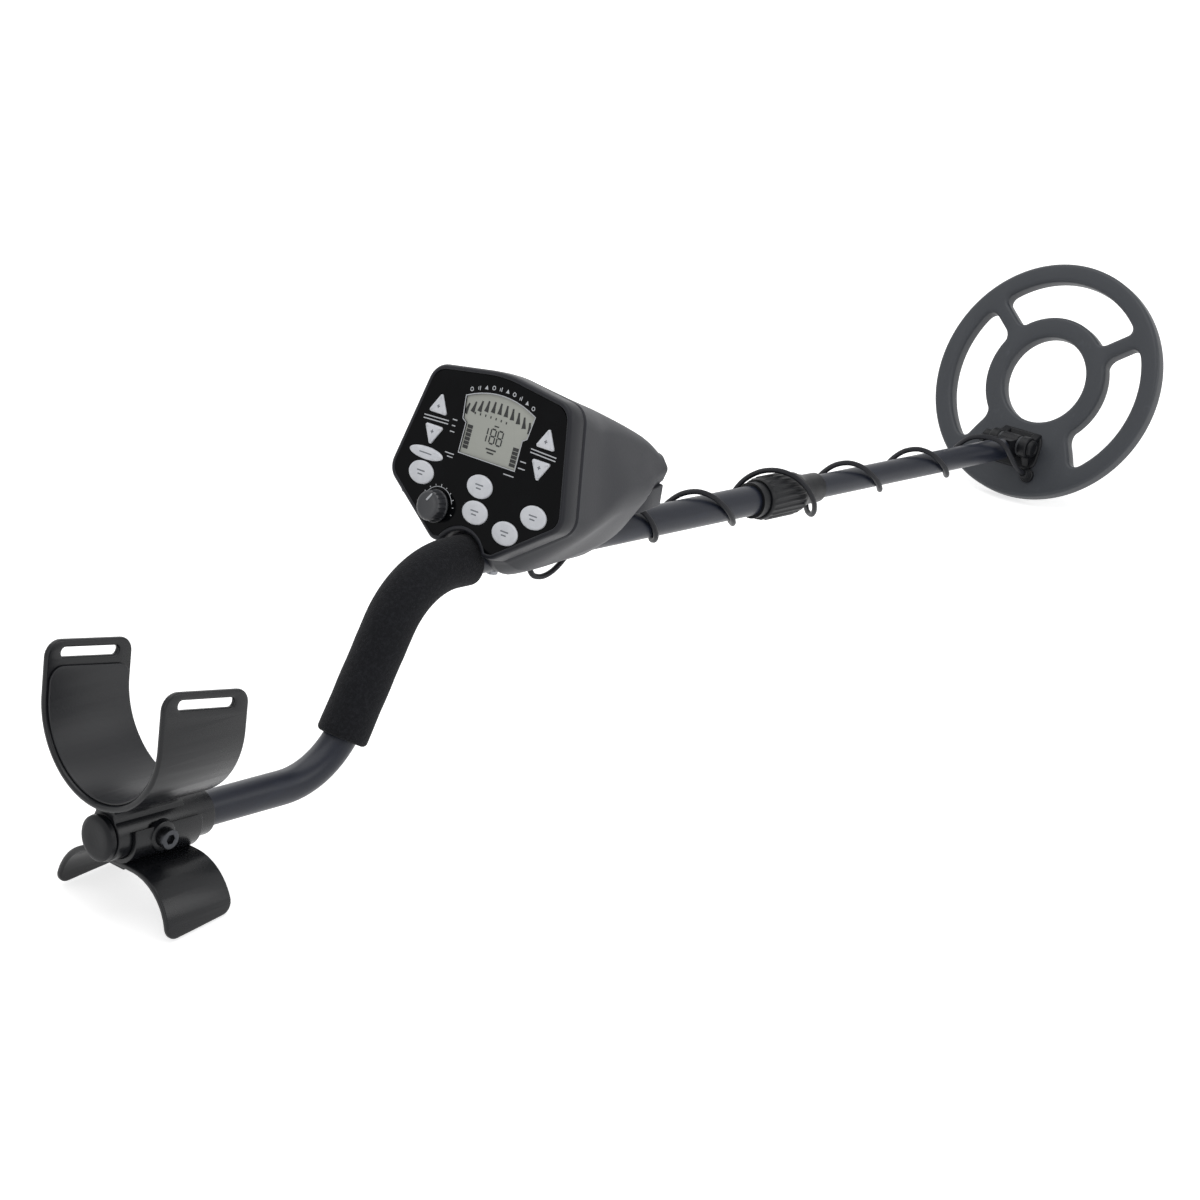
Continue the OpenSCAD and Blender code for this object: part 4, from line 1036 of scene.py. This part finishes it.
def keys():
    for name, (at, kind) in KEYS.items():
        place = FACE_PLAN @ moved(*at)
        crown = [(0, 5), (0, 0.35), (0.12, 0), (0.45, -0.28), (1.0, -0.44), (2.0, -0.55)]
        Shape().slab([key_outline(kind)], crown).piece(
            name + "_cap", place, SILVER, name + "_key", [name + "_key"], "key_silver")
        marks = Shape()
        for loop in key_marks(kind):
            marks.slab([loop], [(0, -0.5), (0, -0.585)])
        marks.piece(name + "_mark", place, KEY_PRINT, name + "_key", slot="key_silver")


def knob():
    """Fluted knob with a dished top and a raised pointer."""
    def flutes(x, a):
        return -0.45 * max(0, cos(18 * a)) ** 2 if -7.6 < x < -1.6 else 0
    profile = [(0, 3.2), (0, 10.6), (-0.5, 11), (-1.5, 11), (-1.8, 10.7), (-4, 10.4), (-7.4, 10.1),
               (-8.3, 9.6), (-8.85, 8.6), (-9, 7.6), (-8.7, 6.4), (-8.4, 4), (-8.3, 0.5)]
    place = FACE @ moved(0, *KNOB_AT)
    Shape().turned(profile, 180, flutes).piece(
        "knob_body", place, KNOB, "knob", ["sensitivity_knob"], "knob_plastic")
    Shape().slab([box(1.3, 6.4, (0, 5.6), 35, 0.5)], [(0, -8.3), (0, -8.9), (0.25, -9)]).piece(
        "knob_pointer", place @ ACROSS, PRINT, "knob", slot="knob_plastic")


DISPLAY_Y = -3


def display_opening(grow=0.0):
    """Fan above a plain rectangle."""
    half = [(24.5, 69), (24.5, 89), (28, 91)]
    fan = [(30 * a / 5, 112 - 6.5 * (a / 5) ** 2) for a in range(5, -6, -1)]
    points = [Vector(p) for p in half + fan + [(-y, s) for y, s in half[::-1]]]
    return [p + Vector((DISPLAY_Y, 0)) for p in inset(facing(points, True), -grow)]


def digit(at, w, h, t, lit=None):
    """Seven-segment figure, whose right is towards -Y; lit names its segments unless all are."""
    y, s = at
    flat, tall = (w - t, t), (t, h / 2 - t * 0.6)
    bars = {"top": (flat, 0, h), "middle": (flat, 0, h / 2), "bottom": (flat, 0, 0),
            "upper_left": (tall, w / 2, h * 0.75), "lower_left": (tall, w / 2, h * 0.25),
            "upper_right": (tall, -w / 2, h * 0.75), "lower_right": (tall, -w / 2, h * 0.25)}
    return [box(*size, (y + dy, s + ds)) for size, dy, ds in (bars[k] for k in lit or bars)]


def display():
    """Plain content: a fan of pointers, a row of small marks, the figure 188 and two level bars."""
    pointer = ((-0.7, 0), (0.7, 0), (1, -3.2), (1.9, -7.4), (-1.9, -7.4), (-1, -3.2))
    digit_low, digit_h, stroke = 80.5, 9.5, 1.1
    marks = []
    for k in range(11):
        a = (k - 5) / 5
        top = Vector((DISPLAY_Y - 26.5 * a, 107.6 - 6.2 * a * a))
        lean = Matrix.Rotation(radians(-14 * a), 2)
        marks.append([top + lean @ Vector(c) for c in pointer])
    for k in range(7):
        marks.append(box(1.1, 1.6, (DISPLAY_Y + 20 - 4.6 * k, 96.8 - 0.05 * (k - 3) ** 2)))
    marks += digit((DISPLAY_Y + 5.8, digit_low), 0.01, digit_h, stroke, ["upper_right", "lower_right"])
    for y in (0.8, -5.4):
        marks += digit((DISPLAY_Y + y, digit_low), 4.2, digit_h, stroke)
    marks.append(box(4, 0.9, (DISPLAY_Y - 0.6, 92.2)))
    for k, w in enumerate((9, 6)):
        marks.append(box(w, 1.1, (DISPLAY_Y - 0.6, 76.6 - 2.2 * k)))
    for k in range(6):
        marks.append(box(4.6, 2.35, (DISPLAY_Y + 21.2, 73.4 + 2.7 * k)))
    for k in range(5):
        marks.append(box(5, 2.25, (DISPLAY_Y - 20.8, 71.6 + 2.6 * k)))
    shape = Shape()
    for loop in marks:
        shape.slab([loop], [(0, WINDOW_X), (0, WINDOW_X - 0.06)])
    shape.piece("display_marks", FACE_PLAN, SEGMENTS, "pole", slot="display")


def panel_print():
    """Fine lines, ticks and plain symbols in pale ink on the panel."""
    shape = Shape()
    ink = [(0, PANEL_X), (0, PANEL_X - 0.05)]
    shape.slab([display_opening(0.75), display_opening(0.1)], ink)
    for side in (1, -1):
        for s in (83.4, 85.6):
            shape.slab([box(22, 0.75, (side * 47.5, s), -2 * side)], ink)
    for k in range(10):
        a = (k - 4.5) / 4.5
        y, s = DISPLAY_Y - 27 * a, 116.3 - 5.6 * a * a
        kind = k % 3
        if kind == 0:
            shape.slab([ellipse(1.5, 1.5, (y, s), 20), ellipse(0.9, 0.9, (y, s), 20)], ink)
        elif kind == 1:
            shape.slab([box(0.6, 2.8, (y - 0.7, s), 10 * a)], ink)
            shape.slab([box(0.6, 2.0, (y + 0.7, s - 0.3), 10 * a)], ink)
        else:
            peak = ((y - 1.5, s - 1.2), (y + 1.5, s - 1.2), (y, s + 1.5))
            shape.slab([[Vector(c) for c in peak]], ink)
    dashes = ((31.5, 88, 4), (31.5, 84, 3), (31.5, 80, 4), (29, 66, 8), (28, 63.8, 5), (-24, 64.8, 9),
              (-33, 76, 5), (-33, 71.5, 6))
    for y, s, w in dashes:
        shape.slab([box(w, 0.7, (y, s))], ink)
    tick_r, band_in, band_out = 14.2, 12.9, 13.3
    for k in range(13):
        a = radians(-30 + 20 * k)
        at = (KNOB_AT[0] + tick_r * cos(a), KNOB_AT[1] + tick_r * sin(a))
        if at[1] > 24 and hypot(*at) > NOTCH_R + LIP_W + 2:
            shape.slab([box(1.8 if k % 3 == 0 else 1.1, 0.55, at, degrees(a))], ink)
    band = arc(band_in, 20, 160, 24, KNOB_AT) + arc(band_out, 160, 20, 24, KNOB_AT)
    shape.slab([band], ink)
    shape.piece("panel_print_lines", FACE_PLAN, PRINT, "pole", slot="panel")


keys()
knob()
display()
panel_print()

# ---------- locking collar ----------


def lock_collar():
    """Ribbed ring with a tapered skirt in front."""
    back, front, wall_r = FRONT_RUN - 36, FRONT_RUN + 5, 15.5

    def ribs(x, a):
        fade = min(1, max(0, (x - back - 3) / 2), max(0, (front - x) / 2))
        return 0.95 * fade * max(0, cos(22 * a)) ** 0.7
    outside = [(back, 14.7), (back + 0.8, 15.3), (back + 3, wall_r), (back + 4, wall_r), (back + 5, wall_r),
               (back + 20, wall_r), (front - 2, wall_r), (front - 1, wall_r), (front, wall_r),
               (front + 2.4, 15.3), (front + 3.2, 14.6), (front + 9, 13), (front + 17, 11.4),
               (front + 31, 11.3), (front + 32, 10.6)]
    inside = [(front + 32, 9.35), (front + 11, 9.35), (front - 4.5, 13.4), (back + 1, 13.7)]
    Shape().turned([(back, 13.75)] + outside + inside, 220, ribs, loop=True).piece(
        "lock_collar_grip", POLE, BLACK, "lock_collar", ["lock_collar"], "black_plastic")


lock_collar()

# ---------- search coil ----------


def polar_window(low, high, corner, steps=6):
    """A window between two rings; low and high give the angles of its sides at a radius."""
    mid = (HUB_R + RING_IN_R) / 2
    width = mid * (high(mid) - low(mid))
    corners = [(0, HUB_R), (width, HUB_R), (width, RING_IN_R), (0, RING_IN_R)]
    plain = dense(rounded(corners, [corner], steps), 3)
    made = []
    for p in plain:
        a = low(p.y) + (high(p.y) - low(p.y)) * p.x / width
        made.append(Vector((p.y * cos(a), p.y * sin(a))))
    return made


SPOKE_AT, SPOKE_W, WEB_AT = radians(52), 13, radians(38)


def spoke_side(r, side):
    return SPOKE_AT + side * asin(SPOKE_W / 2 / r)


def web_side(r):
    share = (r - HUB_R) / (RING_IN_R - HUB_R)
    return pi - WEB_AT * (1.15 - 0.15 * share)


def coil_plan():
    """Outer circle, middle hole, front window and the two side windows."""
    front = polar_window(lambda r: -spoke_side(r, -1), lambda r: spoke_side(r, -1), 6)
    side = polar_window(lambda r: spoke_side(r, 1), web_side, 8)
    other_side = [Vector((p.x, -p.y)) for p in side]
    return [ellipse(COIL_R, COIL_R, n=180), ellipse(HOLE_R, HOLE_R, n=96), front, side, other_side]


def coil():
    plan = coil_plan()
    low = COVER_T - COIL_T
    Shape().slab(plan, edge(3.3, low + 0.2, 0, 6, 0.35)).piece(
        "coil_body", COIL, COIL_SKIN, "coil", ["coil_shell"], "coil_plastic")
    tucked = [inset(facing(loop, i == 0), 0.3) for i, loop in enumerate(plan)]
    Shape().slab(tucked, edge(0.3, -COIL_T, low, 5, 1.8)).piece(
        "coil_bottom", COIL, COIL_SKIN, "coil", ["coil_cover"], "coil_plastic")
    ears = Shape()
    ear_y, ear_r, foot = 14.4, 9, [(-15, -1.5), (-15, 0.4)]
    left_foot = [Vector(p) for p in foot]
    right_foot = [Vector((-x, z)) for x, z in foot[::-1]]
    for side in (1, -1):
        outline = left_foot + arc(ear_r, 205, -25, 28, (0, HINGE_H)) + right_foot
        first = len(ears.points)
        ears.slab([outline], edge(1.3, -4, 4))
        for p in ears.points[first:]:
            p.xyz = (p.x - HINGE_BACK, side * ear_y + p.z, p.y)
    pad = rounded([(-78, -23), (-46, -21), (-46, 21), (-78, 23)], [9], 6)
    ears.slab([dense(pad, 5)], edge(1.8, -1.5, 1.6))
    ears.piece("hinge_ears", COIL, BLACK, "coil", slot="black_plastic")


def hinge_bolt():
    """Round head with a shallow recess, and the shank through both ears."""
    profile = [(27.4, 3.4), (27, 4), (-18.5, 4), (-18.5, 6.6), (-19, 7), (-20.6, 7), (-21.6, 6.4),
               (-22.3, 5), (-22.2, 4.4), (-21.4, 3.9), (-21.3, 0.4)]
    place = POLE @ moved(HINGE_X, 0, HINGE_Z) @ AXIS_Y
    Shape().turned(profile, 64).piece(
        "hinge_bolt_screw", place, BLACK, "coil", ["hinge_bolt"], "black_plastic")


def gland():
    """Round foot and a ribbed, tapered strain relief."""
    profile = [(-3, 2.9), (0, 5.9), (2.2, 6), (2.8, 5.6), (3, 4.9), (4.1, 4.7), (4.3, 4.2), (4.9, 4.2),
               (5.1, 4.4), (6.1, 4.1), (6.3, 3.7), (6.9, 3.7), (7.1, 3.8), (8.6, 3.3), (9, 2.9), (9, 2.15),
               (5, 2.15), (4.8, 0.4)]
    place = COIL @ moved(-82, -19, 0) @ AXIS_Z
    Shape().turned(profile, 48).piece(
        "cable_gland_boot", place, BLACK, "coil", ["cable_gland"], "black_plastic")


coil()
hinge_bolt()
gland()

# ---------- cable ----------

# The turns start at their lowest point, FIRST_LOW, and take a point every WIND_TURN degrees
FIRST_LOW, WIND_PITCH, WIND_STEPS, WIND_TURN, LIFT = 245, 94, 53, 30, 2
WIND_R = TUBE_R + CABLE_R + 0.3
STEM_WIND_R = STEM_R + CABLE_R + 1.2
COLLAR_WIND_R = 15.5 + 1 + CABLE_R + 1.2
LOCK_BACK, COLLAR_NOSE = FRONT_RUN - 44, FRONT_RUN + 37
LEAD_IN = [(142, 22, -19.5), (142, 22, -24), (143.5, 22, -28.5), (148, 22, -32.5), (156, 21.6, -34),
           (164, 21, -32), (171, 20, -27), (177, 18.4, -19.5), (182, 16.6, -11)]
LEAD_OUT = [(668, 0, 14), (677, -7, 12.6), (684, -12.4, 7.6), (689, -15.4, 1), (693.5, -17.3, -5.2),
            (698, -18.5, -10.4), (703, -19, -14.2), (708, -19, -16.4), (712, -19, -18.2)]
TAIL_FROM = 640


def wind_point(x, turn_by, r):
    a = radians(turn_by)
    return Vector((x, -r * sin(a), r * cos(a)))


def cable_route():
    """The whole cable as the frame has it: lead-in, a tighter half turn, even turns, lead-out."""
    def lifted(a):
        return LIFT * max(0, cos(radians(a))) ** 2
    points = [Vector(p) for p in LEAD_IN]
    for a in range(-60, 151, WIND_TURN):
        points.append(wind_point(FIRST_LOW - (180 - a) / 6, a, WIND_R + lifted(a)))
    for i in range(WIND_STEPS + 1):
        a, x = 180 + i * WIND_TURN, FIRST_LOW + i * WIND_TURN * WIND_PITCH / 360
        r = (WIND_R if x < LOCK_BACK else STEM_WIND_R) + lifted(a)
        share = max(0, min(1, (x - LOCK_BACK + 24) / 22, (COLLAR_NOSE + 12 - x) / 24))
        points.append(wind_point(x, a, r + (max(r, COLLAR_WIND_R) - r) * share))
    return points + [Vector(p) for p in LEAD_OUT]


def cable():
    """Two tubes of one route: the turns reach from the plug to the stem, the tail to the coil."""
    path = [r[0] for r in smooth_through([[p] for p in cable_route()], 4)]
    split = next(i for i, p in enumerate(path) if p.x > TAIL_FROM)
    turns, tail = path[:split + 1], path[split:]
    main = Shape().swept(turns, [CABLE_R] * len(turns), 12).piece(
        "cable_wound", POLE, CABLE, None, ["search_cable"], "cable_rubber")
    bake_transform(main)
    end = Shape().swept(tail, [CABLE_R] * len(tail), 12).piece(
        "cable_tail", POLE, CABLE, None, ["search_cable"], "cable_rubber")
    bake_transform(end)


def plug():
    """Knurled plug with a ribbed tail."""
    def knurl(h, a):
        return 0.25 * cos(30 * a) if -15.2 < h < -9 else 0
    profile = [(-8, 6.4), (-8.4, 6.9), (-9.2, 7), (-15, 7), (-15.6, 6.8), (-16, 5.8), (-17, 5.2),
               (-17.4, 4.7), (-18.2, 4.7), (-18.5, 4.9), (-19.3, 4.5), (-19.6, 4), (-20.4, 4), (-20.7, 4.1),
               (-22, 3.4), (-22, 2.1), (-19, 2.1), (-18.8, 0.4)]
    place = POLE @ moved(142, 22, 0) @ AXIS_Z
    Shape().turned(profile, 120, knurl).piece(
        "coil_cable_plug", place, BLACK, "pole", ["cable_plug"], "black_plastic")


cable()
plug()

# ---------- finishes of the frame's own nodes ----------

NODE_FINISH = {
    "face_panel": PANEL, "lcd_window": DISPLAY, "lcd_module": DISPLAY, "key_mat": RUBBER,
    "circuit_board": BOARD, "face_screws": STEEL, "housing_screws": STEEL, "potentiometer": STEEL,
    "knob_shaft": STEEL, "speaker": BLACK, "headphone_socket": BLACK, "battery_tray": BLACK,
    "batteries": STEEL, "battery_snaps": BLACK, "coil_socket": STEEL, "lock_sleeve": BLACK,
    "collet": BLACK, "lower_stem": COAT, "stem_guide": BLACK, "stem_yoke": BLACK,
    "hinge_washers": RUBBER, "hinge_nut": BLACK, "clamp_nut": BLACK_STEEL,
    "transmit_winding": COPPER, "receive_winding": COPPER}
for node, finish in NODE_FINISH.items():
    for slot in frame["nodes"][node].material_slots:
        slot.material = finish
